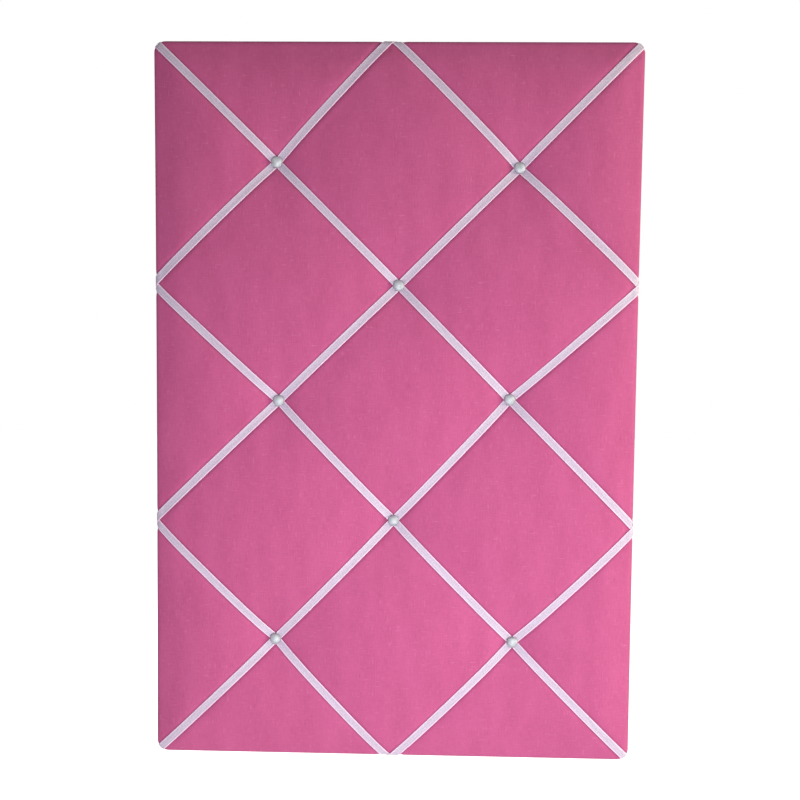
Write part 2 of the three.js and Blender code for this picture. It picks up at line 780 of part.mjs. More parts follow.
// Cloth cover: over the pad, round the edges and onto the back, with an open middle
const coverSkin = [...rollRings, ...turnRings, backRing(hemWidth)];
const coverRings = [
  ...coverSkin.map((ring) => ring(0)),
  ...coverSkin.map((ring) => ring(-clothThickness)).reverse(),
];
const coverBlank = panelGeometry(padPanel, frontDepth(0), coverRings, frontDepth(-clothThickness));
addMesh("fabric_cover", cut(coverBlank, [...nailHoles, ...legHoles]), cottonFinish);

export default memoBoard;
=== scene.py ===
import json
import math
from functools import partial

import bmesh
import bpy
import numpy as np
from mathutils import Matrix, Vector
from mathutils.bvhtree import BVHTree


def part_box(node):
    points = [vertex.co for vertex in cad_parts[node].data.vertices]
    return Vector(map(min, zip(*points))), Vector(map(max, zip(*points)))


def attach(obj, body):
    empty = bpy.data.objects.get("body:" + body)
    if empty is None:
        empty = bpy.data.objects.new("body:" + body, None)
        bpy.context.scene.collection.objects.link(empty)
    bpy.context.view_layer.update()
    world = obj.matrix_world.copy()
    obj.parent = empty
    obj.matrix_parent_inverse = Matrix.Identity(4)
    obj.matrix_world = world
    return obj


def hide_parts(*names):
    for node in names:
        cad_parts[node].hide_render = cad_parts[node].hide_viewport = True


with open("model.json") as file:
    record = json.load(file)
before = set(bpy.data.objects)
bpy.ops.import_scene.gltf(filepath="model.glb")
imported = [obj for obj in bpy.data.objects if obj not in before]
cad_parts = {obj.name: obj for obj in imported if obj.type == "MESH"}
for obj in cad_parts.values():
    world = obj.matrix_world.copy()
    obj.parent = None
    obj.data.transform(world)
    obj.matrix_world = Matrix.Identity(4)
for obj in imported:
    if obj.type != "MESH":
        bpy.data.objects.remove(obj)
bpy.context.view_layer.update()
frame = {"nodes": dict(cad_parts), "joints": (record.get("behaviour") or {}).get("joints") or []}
nodes = frame["nodes"]
scene = bpy.context.scene
scene.view_settings.view_transform = "Standard"
print("frame loaded,", len(nodes), "solids")

# Padded memo board that hangs on a wall: X to the right, Z up, the viewer on the -Y side. Metres.
skin = {
    "halfWidth": 0.201,  # outside of the cloth
    "halfHeight": 0.2985,
    "boardFront": -0.009,
    "rollWidth": 0.008,  # the cloth rolls over the edge
    "rollHeight": 0.007,
    "rollSquare": 4.5,  # 2 is a quarter ellipse, more is squarer
    "rollSlope": 0.25,  # the pad falls on across the roll, as a share of its height
    "turnRadius": 0.0015,  # and turns onto the back
    "hemY": 0.0008,
    "hemWidth": 0.038,
    "cloth": 0.0005,
    "pullIn": 0.00075,  # the long sides bow in between the corners
}
halfX, halfZ = skin["halfWidth"], skin["halfHeight"]
flatX, flatZ = halfX - skin["rollWidth"], halfZ - skin["rollWidth"]  # the front inside the roll
flatHalf = np.array((flatX, flatZ))
tiny = 1e-6  # nearer than this is the same place


def linear(code):
    parts = [int(code[k : k + 2], 16) / 255 for k in (1, 3, 5)]
    return tuple(c / 12.92 if c <= 0.04045 else ((c + 0.055) / 1.055) ** 2.4 for c in parts) + (1.0,)


# An input takes a value, a socket, a node for its first output in use, or a list of nodes to join
def addNode(tree, kind, inputs=None, **settings):
    node = tree.nodes.new(kind)
    for name, value in settings.items():
        setattr(node, name, value)
    for key, given in (inputs or {}).items():
        for value in given if isinstance(given, list) else [given]:
            if isinstance(value, bpy.types.Node):
                value = next(out for out in value.outputs if out.enabled)
            if isinstance(value, bpy.types.NodeSocket):
                tree.links.new(value, node.inputs[key])
            else:
                node.inputs[key].default_value = value
    return node


# A material and a function that adds to its nodes
def newMaterial(name):
    material = bpy.data.materials.new(name)
    material.use_nodes = True
    material.node_tree.nodes.clear()
    return material, partial(addNode, material.node_tree)


def newObject(name, points, faces, material=None):
    mesh = bpy.data.meshes.new(name)
    mesh.from_pydata([tuple(p) for p in points], [], [tuple(int(k) for k in f) for f in faces])
    mesh.polygons.foreach_set("use_smooth", [True] * len(mesh.polygons))
    mesh.update()
    made = bpy.data.objects.new(name, mesh)
    scene.collection.objects.link(made)
    if material:
        mesh.materials.append(material)
    return made


# Modifiers become plain mesh
def settle(obj):
    graph = bpy.context.evaluated_depsgraph_get()
    made = bpy.data.meshes.new_from_object(obj.evaluated_get(graph))
    obj.modifiers.clear()
    obj.data = made
    return obj


def pointLayer(obj, name, values):
    values = np.asarray(values, np.float32)
    kind, part = ("FLOAT", "value") if values.ndim == 1 else ("FLOAT_VECTOR", "vector")
    obj.data.attributes.new(name, kind, "POINT").data.foreach_set(part, values.ravel())


# Quads between rows of points; closed joins the ends of a row, looped the last row to the first
def gridFaces(rowCount, wide, closed=False, looped=False):
    faces = []
    for k in range(rowCount if looped else rowCount - 1):
        for n in range(wide if closed else wide - 1):
            here, there, after = k * wide, (k + 1) % rowCount * wide, (n + 1) % wide
            faces.append((here + n, here + after, there + after, there + n))
    return faces


def boxMiddle(low, high):
    return np.array(((low.x + high.x) / 2, (low.z + high.z) / 2))


def smoothStep(t):
    t = np.clip(t, 0, 1)
    return t * t * (3 - 2 * t)


# The pull of the cloth and ribbons on the sides, as a small shift in plan
def pulledIn(points):
    points = np.array(points, float)
    part = (np.abs(points[:, 0]) / halfX) ** 2 * (1 - (points[:, 2] / halfZ) ** 2)
    points[:, 0] *= 1 - skin["pullIn"] / halfX * np.maximum(part, 0)
    return points


# The cloth's section past the flat front, by its length: roll, side, turn onto the back, hem
def edgeSection():
    rollPoints, turnPoints = 33, 13
    share = np.linspace(0, 1, rollPoints)
    roll = np.arctan2(share**1.5, (1 - share) ** 1.5)  # closer together at both ends
    turn = np.linspace(0, math.pi / 2, turnPoints)
    radius, square = skin["turnRadius"], 2 / skin["rollSquare"]
    across = np.sin(roll) ** square
    fall = 1 - skin["rollSlope"] * across
    out = np.concatenate([
        skin["rollWidth"] * across,
        skin["rollWidth"] - radius + radius * np.cos(turn),
        [skin["rollWidth"] - skin["hemWidth"]],
    ])
    y = np.concatenate([
        skin["boardFront"] - skin["rollHeight"] * fall * np.abs(np.cos(roll)) ** square,
        skin["hemY"] - radius + radius * np.sin(turn),
        [skin["hemY"]],
    ])
    length = np.concatenate([[0], np.cumsum(np.hypot(np.diff(out), np.diff(y)))])
    slopeOut, slopeY = np.gradient(out, length), np.gradient(y, length)
    size = np.hypot(slopeOut, slopeY)
    return {
        "length": length,
        "out": out,
        "y": y,
        "normalOut": slopeY / size,
        "normalY": -slopeOut / size,
        "rollEnd": length[rollPoints - 1],
        "sideEnd": length[rollPoints],
        "turnEnd": length[rollPoints + turnPoints - 1],
        "hemEnd": length[-1],
    }


section = edgeSection()


def onSection(name, length):
    return np.interp(length, section["length"], section[name])


# Lengths along the section, so many steps on the roll, the side, the turn and on to an end on the back
def sectionSteps(counts, end=None):
    marks = (0, section["rollEnd"], section["sideEnd"], section["turnEnd"], end)
    return np.concatenate([np.linspace(a, b, n + 1)[1:] for a, b, n in zip(marks, marks[1:], counts)])


# How far the cloth has turned onto the back, 0 to 1
def turnedBack(length):
    return smoothStep((length - section["sideEnd"]) / (section["turnEnd"] - section["sideEnd"]))


# Lattice of ribbons: crossings on every other point of a grid of columns and rows
lattice = {
    "columns": 4,
    "rows": 6,
    "edgeMarks": {  # where ribbons meet on the edges, away from an even spacing
        (2, 6): (-0.0045, 0),
        (2, 0): (-0.0015, 0),
        (0, 2): (0, 0.001),
        (0, 4): (0, 0.0005),
        (4, 2): (0, -0.001),
        (4, 4): (0, 0.0015),
    },
    "spread": (0.003, 0.002),  # half the distance between two ribbons at a short and at a long edge
    "ribbonWidth": 0.0064,
}
columns, rows = lattice["columns"], lattice["rows"]
stepX, stepZ = 2 * halfX / columns, 2 * halfZ / rows
ribbonStep = math.hypot(stepX, stepZ)  # between two crossings on a ribbon


def evenPlace(column, row):
    return np.array((column * stepX - halfX, row * stepZ - halfZ))


studNames = [f"stud_{k}" for k in range(1, 9)]
studBoxes = [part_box(name) for name in studNames]
studPlan = np.array([boxMiddle(*box) for box in studBoxes])
inner = [(c, r) for r in range(rows - 1, 0, -1) for c in range(1, columns) if (c + r) % 2 == 0]
crossing = dict(zip(inner, studPlan))

ribbonRuns = {}
for k, total in enumerate(range(2, columns + rows - 1, 2)):
    first, last = max(0, total - rows), min(columns, total)
    ribbonRuns[f"under_ribbon_{k + 1}"] = [(c, total - c) for c in range(first, last + 1)]
for k, apart in enumerate(range(2 - rows, columns - 1, 2)):
    first, last = max(0, apart), min(columns, rows + apart)
    ribbonRuns[f"over_ribbon_{k + 1}"] = [(c, c - apart) for c in range(first, last + 1)]


# A ribbon's way from its last stud over the edge: straight on the cloth laid flat
def leadOut(end, before):
    stud = crossing[before]
    outward = np.array([(k == last) - 1.0 * (k == 0) for k, last in zip(end, (columns, rows))])
    atCorner = bool(outward.all())
    away = evenPlace(*end) + lattice["edgeMarks"].get(end, (0, 0)) - stud
    if not atCorner:
        side = 1 if outward[0] else 0  # the two ribbons stand apart along the edge
        away[side] += lattice["spread"][side] * np.sign(before[side] - end[side])
    along = away / np.linalg.norm(away)
    return {
        "stud": stud,
        "along": along,
        "across": np.array((-along[1], along[0])),
        "outward": outward,
        "steep": along @ outward,
        "rimAt": np.abs(outward) @ flatHalf,
        "atCorner": atCorner,
    }


# The crossings on the edges are where the two ribbons' straight lines would meet
ribbonLeads, ends = {}, {}
for name, run in ribbonRuns.items():
    ribbonLeads[name] = (leadOut(run[0], run[1]), leadOut(run[-1], run[-2]))
    for end, lead in zip((run[0], run[-1]), ribbonLeads[name]):
        ends.setdefault(end, []).append(lead)
for end, leads in ends.items():
    crossing[end] = evenPlace(*end)
    if len(leads) == 2:
        a, b = leads
        reach = np.linalg.solve(np.stack((a["along"], -b["along"]), 1), b["stud"] - a["stud"])
        crossing[end] = a["stud"] + reach[0] * a["along"]
edgeLeads = [lead for pair in ribbonLeads.values() for lead in pair]

shifts = np.zeros((columns + 1, rows + 1, 2))
for place, at in crossing.items():
    shifts[place] = at - evenPlace(*place)


# Plan of lattice points, the shifts spread so that every ribbon stays straight between crossings
def planAt(column, row):
    c, r = np.clip(column, 0, columns), np.clip(row, 0, rows)
    left = np.minimum(np.floor(c), columns - 1).astype(int)
    low = np.minimum(np.floor(r), rows - 1).astype(int)
    u, v = c - left, r - low
    rising = (left + low) % 2 == 0
    weights = (
        np.where(rising, 1 - np.maximum(u, v), np.maximum(1 - u - v, 0)),
        np.where(rising, np.maximum(u - v, 0), np.minimum(u, 1 - v)),
        np.where(rising, np.maximum(v - u, 0), np.minimum(v, 1 - u)),
        np.where(rising, np.minimum(u, v), np.maximum(u + v - 1, 0)),
    )
    corners = ((left, low), (left + 1, low), (left, low + 1), (left + 1, low + 1))
    shift = sum(w[..., None] * shifts[i, j] for w, (i, j) in zip(weights, corners))
    return column * stepX - halfX + shift[..., 0], row * stepZ - halfZ + shift[..., 1]


def latticeAt(x, z):
    column, row = (x + halfX) / stepX, (z + halfZ) / stepZ
    for _ in range(12):
        nowX, nowZ = planAt(column, row)
        column, row = column + (x - nowX) / stepX, row + (z - nowZ) / stepZ
    return column, row


# Distance to the nearest ribbon's centre line, and the shares of a step to the nearest of each slant
def fromRibbon(x, z):
    column, row = latticeAt(x, z)
    falling, rising = (column + row) / 2, (row - column) / 2
    nearFall = np.abs(falling - np.round(falling))
    nearRise = np.abs(rising - np.round(rising))
    return np.minimum(nearFall, nearRise) * ribbonStep, nearFall, nearRise


# The distance on the cloth laid flat past the edges, where the ribbons run straight on
def fromLead(flat):
    nearest = np.full(len(flat), halfX)
    for lead in edgeLeads:
        off = flat - lead["stud"]
        aside = np.where(off @ lead["along"] > 0, np.abs(off @ lead["across"]), halfX)
        nearest = np.minimum(nearest, aside)
    return nearest


# Front of the pad: held down under the ribbons and studs, blown up between them
pad = {
    "channel": 0.011,  # height over the softboard under a ribbon
    "tuft": 0.0041,  # under a stud
    "tuftReach": 0.020,
    "tuftRim": 0.0035,
    "edgeReach": 0.022,
    "groove": 0.0009,  # the ribbons sink in by this
    "grooveReach": 0.0014,
    "press": 0.0005,  # and by this where they go over the edge
    "pressWidth": (0.0042, 0.0075),  # full and none, from a ribbon's centre line
    "rimFade": 0.006,
    "rimStep": 0.0025,
    "held": 0.00345,  # half the width that a ribbon holds down
    "gaps": (0, 1.7, 3.4, 4.3, 5.4, 7, 9.2, 12, 15.6, 20, 25.2, 31.2, 38, 45.6, 54, 62.4),  # mm
    "snap": 0.0009,  # a point this near the cut is moved onto it, so no sliver is left
    "frames": 20,
    "cap": 0.0026,
    "quickShare": 0.85,
    "quickPower": 0.8,
    "swell": {
        "quality": 6,
        "mass": 0.2,
        "tension_stiffness": 18,
        "compression_stiffness": 18,
        "shear_stiffness": 8,
        "bending_stiffness": 0.6,
        "use_pressure": True,
        "uniform_pressure_force": 4.0,
    },
}


def inFromRim(x, z):
    return np.minimum(flatX - np.abs(x), flatZ - np.abs(z))


def restHeight(x, z):
    fromEdge = np.maximum(inFromRim(x, z), 0)
    roll = skin["rollHeight"]
    level = roll + (pad["channel"] - roll) * (1 - np.exp(-fromEdge / pad["edgeReach"]))
    fromStud = np.sqrt(((x[:, None] - studPlan[:, 0]) ** 2 + (z[:, None] - studPlan[:, 1]) ** 2).min(1))
    dip = np.exp(-np.maximum(fromStud - pad["tuftRim"], 0) / pad["tuftReach"])
    return level - (level - pad["tuft"]) * dip


def edgePress(flat):
    full, none = pad["pressWidth"]
    return pad["press"] * (1 - smoothStep((fromLead(flat) - full) / (none - full)))


def snapTo(values, edge, reach):
    return np.where(np.abs(np.abs(values) - edge) < reach, np.sign(values) * edge, values)


# Grid whose lines run along the ribbons, close together beside them, cut to the flat front
def padGrid():
    half = [g * 0.001 / ribbonStep for g in pad["gaps"]]
    parts = half + [0.5] + [1 - g for g in half[:0:-1]]
    spans = ((0, (columns + rows) // 2), (-columns // 2, rows // 2))
    lines = [np.array([k + p for k in range(low, high) for p in parts] + [high]) for low, high in spans]
    fall, rise = np.meshgrid(*lines, indexing="ij")
    x, z = planAt(fall - rise, fall + rise)
    x, z = snapTo(x, flatX, pad["snap"]), snapTo(z, flatZ, pad["snap"])
    inside = inFromRim(x, z) > tiny
    number = np.arange(x.size).reshape(x.shape)
    corners = (np.s_[:-1, :-1], np.s_[1:, :-1], np.s_[1:, 1:], np.s_[:-1, 1:])
    cells = np.stack([number[c] for c in corners], -1)[np.any([inside[c] for c in corners], 0)]
    used, cells = np.unique(cells, return_inverse=True)
    grid = bmesh.new()
    verts = [grid.verts.new((px, 0, pz)) for px, pz in zip(x.ravel()[used], z.ravel()[used])]
    for cell in cells.reshape(-1, 4):
        grid.faces.new([verts[k] for k in cell])
    for normal in ((1, 0, 0), (-1, 0, 0), (0, 0, 1), (0, 0, -1)):
        at = (normal[0] * flatX, 0, normal[2] * flatZ)
        everything = grid.verts[:] + grid.edges[:] + grid.faces[:]
        cut = {"geom": everything, "plane_co": at, "plane_no": normal, "dist": tiny}
        bmesh.ops.bisect_plane(grid, clear_outer=True, **cut)
    cuts = {e: math.ceil(e.calc_length() / pad["rimStep"]) - 1 for e in grid.edges if e.is_boundary}
    for count in set(cuts.values()) - {0}:
        bmesh.ops.subdivide_edges(grid, edges=[e for e in cuts if cuts[e] == count], cuts=count)
    grid.verts.index_update()
    points = np.array([v.co[:] for v in grid.verts])
    faces = [[v.index for v in f.verts] for f in grid.faces]
    grid.free()
    points[:, 0] = snapTo(points[:, 0], flatX, 10 * tiny)
    points[:, 2] = snapTo(points[:, 2], flatZ, 10 * tiny)
    return points, faces


# The wadding blows the cloth up between the lines where it is held
def swell(points, faces, held):
    blown = newObject("padFront", points, faces)
    group = blown.vertex_groups.new(name="held")
    group.add([int(k) for k in np.nonzero(held)[0]], 1.0, "REPLACE")
    cloth = blown.modifiers.new("swell", "CLOTH")
    for name, value in pad["swell"].items():
        setattr(cloth.settings, name, value)
    cloth.settings.vertex_group_mass = group.name
    cloth.settings.effector_weights.gravity = 0
    cloth.point_cache.frame_start = 1
    cloth.point_cache.frame_end = pad["frames"]
    for k in range(1, pad["frames"] + 1):
        scene.frame_set(k)
    settle(blown)
    moved = np.zeros(len(points) * 3, np.float32)
    blown.data.vertices.foreach_get("co", moved)
    scene.frame_set(1)
    bpy.data.objects.remove(blown)
    return points[:, 1] - moved.reshape(-1, 3)[:, 1]


padPoints, padFaces = padGrid()
padX, padZ = padPoints[:, 0], padPoints[:, 2]
print("pad grid,", len(padPoints), "points")
fromRim = inFromRim(padX, padZ)
onRim = fromRim < tiny
atRim = np.exp(-fromRim / pad["rimFade"])
ribbonNear, fallPart, risePart = fromRibbon(padX, padZ)
bank = 1 - np.exp(-np.maximum(ribbonNear - pad["held"], 0) / pad["grooveReach"])
padPoints[:, 1] = skin["boardFront"] - restHeight(padX, padZ)
padPoints[:, 1] -= pad["groove"] * bank * (1 - atRim)
padPoints[:, 1] += edgePress(padPoints[:, [0, 2]]) * atRim
heldPoints = onRim | (ribbonNear < pad["held"])
rise = swell(padPoints, padFaces, heldPoints)
print("pad swelled, at most %.2f mm, middle %.2f mm" % (rise.max() * 1000, np.median(rise) * 1000))
padPoints[:, 1] -= np.clip(rise, 0, pad["cap"])

wavePeriod = 0.31416  # of the wave texture at scale 1

cottonLook = {
    "threads": ("#C05483", "#D36394"),
    "paleThread": "#DF84AE",
    # shade: colour of the painted shade beside the ribbons and over the edge
    "shade": "#8E3A62",
    "spacing": 0.0005,  # threads are 0.35 mm apart, drawn coarser so that they show
    "streaks": (  # width and height: warp, weft, thick threads both ways, bands of dye
        (0.001, 0.007), (0.007, 0.0011), (0.0012, 0.007), (0.008, 0.0012), (0.016, 0.05),
    ),
}


# Woven cotton, plain weave, dyed pink: matt, a little soft at glancing angles, with uneven threads both ways,
# a few thick ones, with painted shade where a ribbon presses it in and where it bends over the edge
def cottonWeave():
    material, add = newMaterial("cotton_plain_weave")
    flat = add("ShaderNodeAttribute", attribute_name="clothFlat").outputs["Vector"]
    # where the painted shade goes
    paintedShade = add("ShaderNodeAttribute", attribute_name="paintedShade").outputs["Fac"]
    streaks = []
    for wide, high in cottonLook["streaks"]:
        spread = add("ShaderNodeMapping", {"Vector": flat, "Scale": (1 / wide, 1 / high, 1)})
        streaks.append(add("ShaderNodeTexNoise", {"Vector": spread, "Scale": 1.0, "Detail": 2.5}))
    warp, weft, thickWarp, thickWeft, dye = streaks
    crossed = add("ShaderNodeMath", {0: weft, 1: 0.8, 2: warp}, operation="MULTIPLY_ADD")
    uneven = add("ShaderNodeMath", {0: dye, 1: 1.2, 2: crossed}, operation="MULTIPLY_ADD")
    wave = {"Vector": flat, "Scale": wavePeriod / cottonLook["spacing"], "Distortion": 0.0}
    upright = add("ShaderNodeTexWave", wave, bands_direction="X").outputs["Fac"]
    level = add("ShaderNodeTexWave", wave, bands_direction="Y").outputs["Fac"]
    weave = add("ShaderNodeMath", {0: upright, 1: level}, operation="MULTIPLY")
    tone = add("ShaderNodeMapRange", {"Value": uneven, "From Min": 0.95, "From Max": 2.1})
    thick = {"From Min": 0.63, "From Max": 0.74, "To Max": 0.4}
    paleWarp = add("ShaderNodeMapRange", {"Value": thickWarp, **thick})
    paleWeft = add("ShaderNodeMapRange", {"Value": thickWeft, **thick})
    raised = add("ShaderNodeMath", {0: paleWarp, 1: paleWeft}, operation="ADD")
    deep, light = [linear(code) for code in cottonLook["threads"]]
    threads = add("ShaderNodeMix", {"Factor": tone, "A": deep, "B": light}, data_type="RGBA")
    pale = {"Factor": raised, "A": threads, "B": linear(cottonLook["paleThread"])}
    paled = add("ShaderNodeMix", pale, data_type="RGBA")
    # painted shade in the gaps between the threads of the weave
    paintedWeaveShade = add("ShaderNodeMapRange", {"Value": weave, "To Min": 0.05, "To Max": 0.0})
    thin = {"Value": thickWarp, "From Min": 0.36, "From Max": 0.26, "To Max": 0.25}
    slub = add("ShaderNodeMapRange", thin)
    dark = add("ShaderNodeMath", {0: paintedWeaveShade, 1: slub}, operation="ADD")
    # painted shade beside the ribbons and over the edge, added to the darkening
    dark = add("ShaderNodeMath", {0: paintedShade, 1: 0.55, 2: dark}, operation="MULTIPLY_ADD")
    paintedShadeMix = {"Factor": dark, "A": paled, "B": linear(cottonLook["shade"])}
    height = add("ShaderNodeMath", {0: uneven, 1: weave}, operation="ADD")
    shader = add("ShaderNodeBsdfPrincipled", {
        "Base Color": add("ShaderNodeMix", paintedShadeMix, data_type="RGBA"),
        "Normal": add("ShaderNodeBump", {"Height": height, "Strength": 0.25, "Distance": 0.00012}),
        "Roughness": 0.85,
        "Sheen Weight": 0.12,
        "Sheen Roughness": 0.5,
        "Specular IOR Level": 0.3,
    })
    add("ShaderNodeOutputMaterial", {"Surface": shader})
    return material


satinLook = {
    "face": ("#BFAEC0", "#E1D1E2"),
    # lighter colour of the selvedges: a painted highlight
    "selvedgeAndHighlight": "#F6DDEE",
    "selvedgeFrom": (0.0022, 0.0026),  # from the middle of the ribbon
    "warp": (0.0006, 0.02),
    "glint": 0.0012,
    "picks": 0.0008,  # they are 0.2 mm apart, drawn coarser so that they show
}


# Single-face satin ribbon, polyester: soft lengthwise gloss, a slightly rougher woven selvedge at both sides
# with a painted highlight in its lighter colour
def satinRibbon():
    material, add = newMaterial("satin_ribbon_woven")
    flat = add("ShaderNodeAttribute", attribute_name="ribbonFlat").outputs["Vector"]
    side = add("ShaderNodeSeparateXYZ", {0: flat}).outputs[0]
    across = add("ShaderNodeMath", {0: side}, operation="ABSOLUTE")
    near, far = satinLook["selvedgeFrom"]
    selvedgeAndHighlight = add("ShaderNodeMapRange", {"Value": across, "From Min": near, "From Max": far})
    wide, high = satinLook["warp"]
    spread = add("ShaderNodeMapping", {"Vector": flat, "Scale": (1 / wide, 1 / high, 1)})
    warp = add("ShaderNodeTexNoise", {"Vector": spread, "Scale": 1.0, "Detail": 2.0})
    fine = {"Vector": flat, "Scale": 1 / satinLook["glint"], "Detail": 1.0}
    glints = add("ShaderNodeTexNoise", fine)
    mixed = add("ShaderNodeMath", {0: warp, 1: glints}, operation="ADD")
    tone = add("ShaderNodeMapRange", {"Value": mixed, "From Min": 0.7, "From Max": 1.3})
    wave = {"Vector": flat, "Scale": wavePeriod / satinLook["picks"], "Distortion": 0.4}
    picks = add("ShaderNodeTexWave", wave, bands_direction="Y").outputs["Fac"]
    dull, bright = [linear(code) for code in satinLook["face"]]
    face = add("ShaderNodeMix", {"Factor": tone, "A": dull, "B": bright}, data_type="RGBA")
    # painted highlight along the selvedges
    highlightedEdges = {"Factor": selvedgeAndHighlight, "A": face, "B": linear(satinLook["selvedgeAndHighlight"])}
    height = add("ShaderNodeMath", {0: warp, 1: picks}, operation="ADD")
    shader = add("ShaderNodeBsdfPrincipled", {
        "Base Color": add("ShaderNodeMix", highlightedEdges, data_type="RGBA"),
        "Roughness": add("ShaderNodeMapRange", {"Value": selvedgeAndHighlight, "To Min": 0.55, "To Max": 0.62}),
        "Normal": add("ShaderNodeBump", {"Height": height, "Strength": 0.2, "Distance": 0.00008}),
        "Specular IOR Level": 0.35,
        "Sheen Weight": 0.1,
        "Anisotropic": 0.3,
    })
    add("ShaderNodeOutputMaterial", {"Surface": shader})
    return material


# Metals: a plated or drawn surface whose gloss is uneven, and which is worn or dull in patches
def metalFinish(name, light, dark, roughness, patch, scratch):
    material, add = newMaterial(name)
    place = add("ShaderNodeTexCoord").outputs["Object"]
    patches = add("ShaderNodeTexNoise", {"Vector": place, "Scale": 1 / patch, "Detail": 3.0})
    fine = add("ShaderNodeTexNoise", {"Vector": place, "Scale": 1 / scratch, "Detail": 2.0})
    even = add("ShaderNodeMapRange", {"Value": patches, "From Min": 0.3, "From Max": 0.6})
    worn = {"Factor": even, "A": linear(dark), "B": linear(light)}
    gloss = {"Value": patches, "To Min": roughness + 0.1, "To Max": roughness - 0.06}
    shader = add("ShaderNodeBsdfPrincipled", {
        "Base Color": add("ShaderNodeMix", worn, data_type="RGBA"),
        "Roughness": add("ShaderNodeMapRange", gloss),
        "Normal": add("ShaderNodeBump", {"Height": fine, "Strength": 0.12, "Distance": 0.00004}),
        "Metallic": 1.0,
    })
    add("ShaderNodeOutputMaterial", {"Surface": shader})
    return material


fibreLook = {
    "board": ("#AE9068", "#C2A67E"),
    "darkFibre": "#8F7148",
    "fibre": (0.0006, 0.001, 0.0035),  # width, depth and length
    "wander": 0.009,  # the fibres bend within this, and by this much
    "wanderBy": 0.006,
    "wadding": ("#DEDBD5", "#F6F4F1"),
    "tuft": 0.004,
}


# Softboard, wood fibres pressed in a mat: dull brown with short pale and dark fibres
def softboardFibre():
    material, add = newMaterial("softboard_pressed_fibre")
    place = add("ShaderNodeTexCoord").outputs["Object"]
    slow = {"Vector": place, "Scale": 1 / fibreLook["wander"], "Detail": 2.0}
    wander = add("ShaderNodeTexNoise", slow).outputs["Color"]
    bent = add("ShaderNodeVectorMath", {0: wander, 1: (fibreLook["wanderBy"],) * 3}, operation="MULTIPLY")
    moved = add("ShaderNodeVectorMath", {0: place, 1: bent}, operation="ADD")
    scale = tuple(1 / size for size in fibreLook["fibre"])
    fibres = []
    for turned in (scale, scale[::-1]):  # upright and level
        spread = add("ShaderNodeMapping", {"Vector": moved, "Scale": turned})
        fibres.append(add("ShaderNodeTexNoise", {"Vector": spread, "Scale": 1.0, "Detail": 3.0}))
    pale = add("ShaderNodeMapRange", {"Value": fibres[0], "From Min": 0.45, "From Max": 0.7})
    dark = add("ShaderNodeMapRange", {"Value": fibres[1], "From Min": 0.5, "From Max": 0.75})
    low, high = [linear(code) for code in fibreLook["board"]]
    lit = add("ShaderNodeMix", {"Factor": pale, "A": low, "B": high}, data_type="RGBA")
    mixed = {"Factor": dark, "A": lit, "B": linear(fibreLook["darkFibre"])}
    height = add("ShaderNodeMath", {0: fibres[0], 1: fibres[1]}, operation="SUBTRACT")
    shader = add("ShaderNodeBsdfPrincipled", {
        "Base Color": add("ShaderNodeMix", mixed, data_type="RGBA"),
        "Normal": add("ShaderNodeBump", {"Height": height, "Strength": 0.4, "Distance": 0.0002}),
        "Roughness": 0.92,
        "Specular IOR Level": 0.2,
    })
    add("ShaderNodeOutputMaterial", {"Surface": shader})
    return material


# Polyester wadding: loose white fibres, no gloss, soft at the edges
def waddingFibre():
    material, add = newMaterial("polyester_wadding")
    place = add("ShaderNodeTexCoord").outputs["Object"]
    loose = {"Vector": place, "Scale": 1 / fibreLook["tuft"], "Detail": 5.0, "Distortion": 1.5}
    fluff = add("ShaderNodeTexNoise", loose)
    low, high = [linear(code) for code in fibreLook["wadding"]]
    shader = add("ShaderNodeBsdfPrincipled", {
        "Base Color": add("ShaderNodeMix", {"Factor": fluff, "A": low, "B": high}, data_type="RGBA"),
        "Normal": add("ShaderNodeBump", {"Height": fluff, "Strength": 0.6, "Distance": 0.0006}),
        "Roughness": 0.95,
        "Sheen Weight": 0.3,
    })
    add("ShaderNodeOutputMaterial", {"Surface": shader})
    return material


cotton = cottonWeave()
satin = satinRibbon()
# light and worn colour, roughness, size of the patches and of the fine scratches
nickel = metalFinish("nickel_plate_satin", "#B3B7BB", "#A2A6AA", 0.67, 0.003, 0.0005)
zinc = metalFinish("zinc_plated_steel", "#BDC1C5", "#9FA4A8", 0.36, 0.005, 0.0008)
wire = metalFinish("galvanised_wire_drawn", "#B4B7BB", "#94989D", 0.33, 0.002, 0.0004)
softboard = softboardFibre()
polyester = waddingFibre()
print("finishes made")

cover = {
    "rings": (10, 6, 5),  # on the roll, the side and the turn
    "backRings": 10,
    "cornerFan": 10,
    "gather": 0.00022,  # small folds where the cloth is drawn in round a corner
    "gatherReach": 0.004,
    "foldLip": 0.0004,  # the folded corner of the hem stands on the strip beside it
    "lipEdge": 0.0006,
    "lipReach": 0.009,
    "cutWave": 0.00035,  # the hem's cut edge wanders
    "cutReach": 0.006,
    # share, turns along x and along z, start
    "cutTurns": ((1, 61, 61, 0), (0.6, 173, -173, 1.3), (0.4, 409, 251, 0)),
    "shadeBesideRibbonWidth": 0.002,  # painted shade beside the ribbons
    "shadeBesideRibbonFade": 0.003,
    "edgeShade": 0.42,  # and painted shade where the cloth is drawn over the edge
    "bendFrom": 0.005,  # on the cloth, past the flat front
    "bendReach": 0.004,
    "bendEnd": 0.011,
}


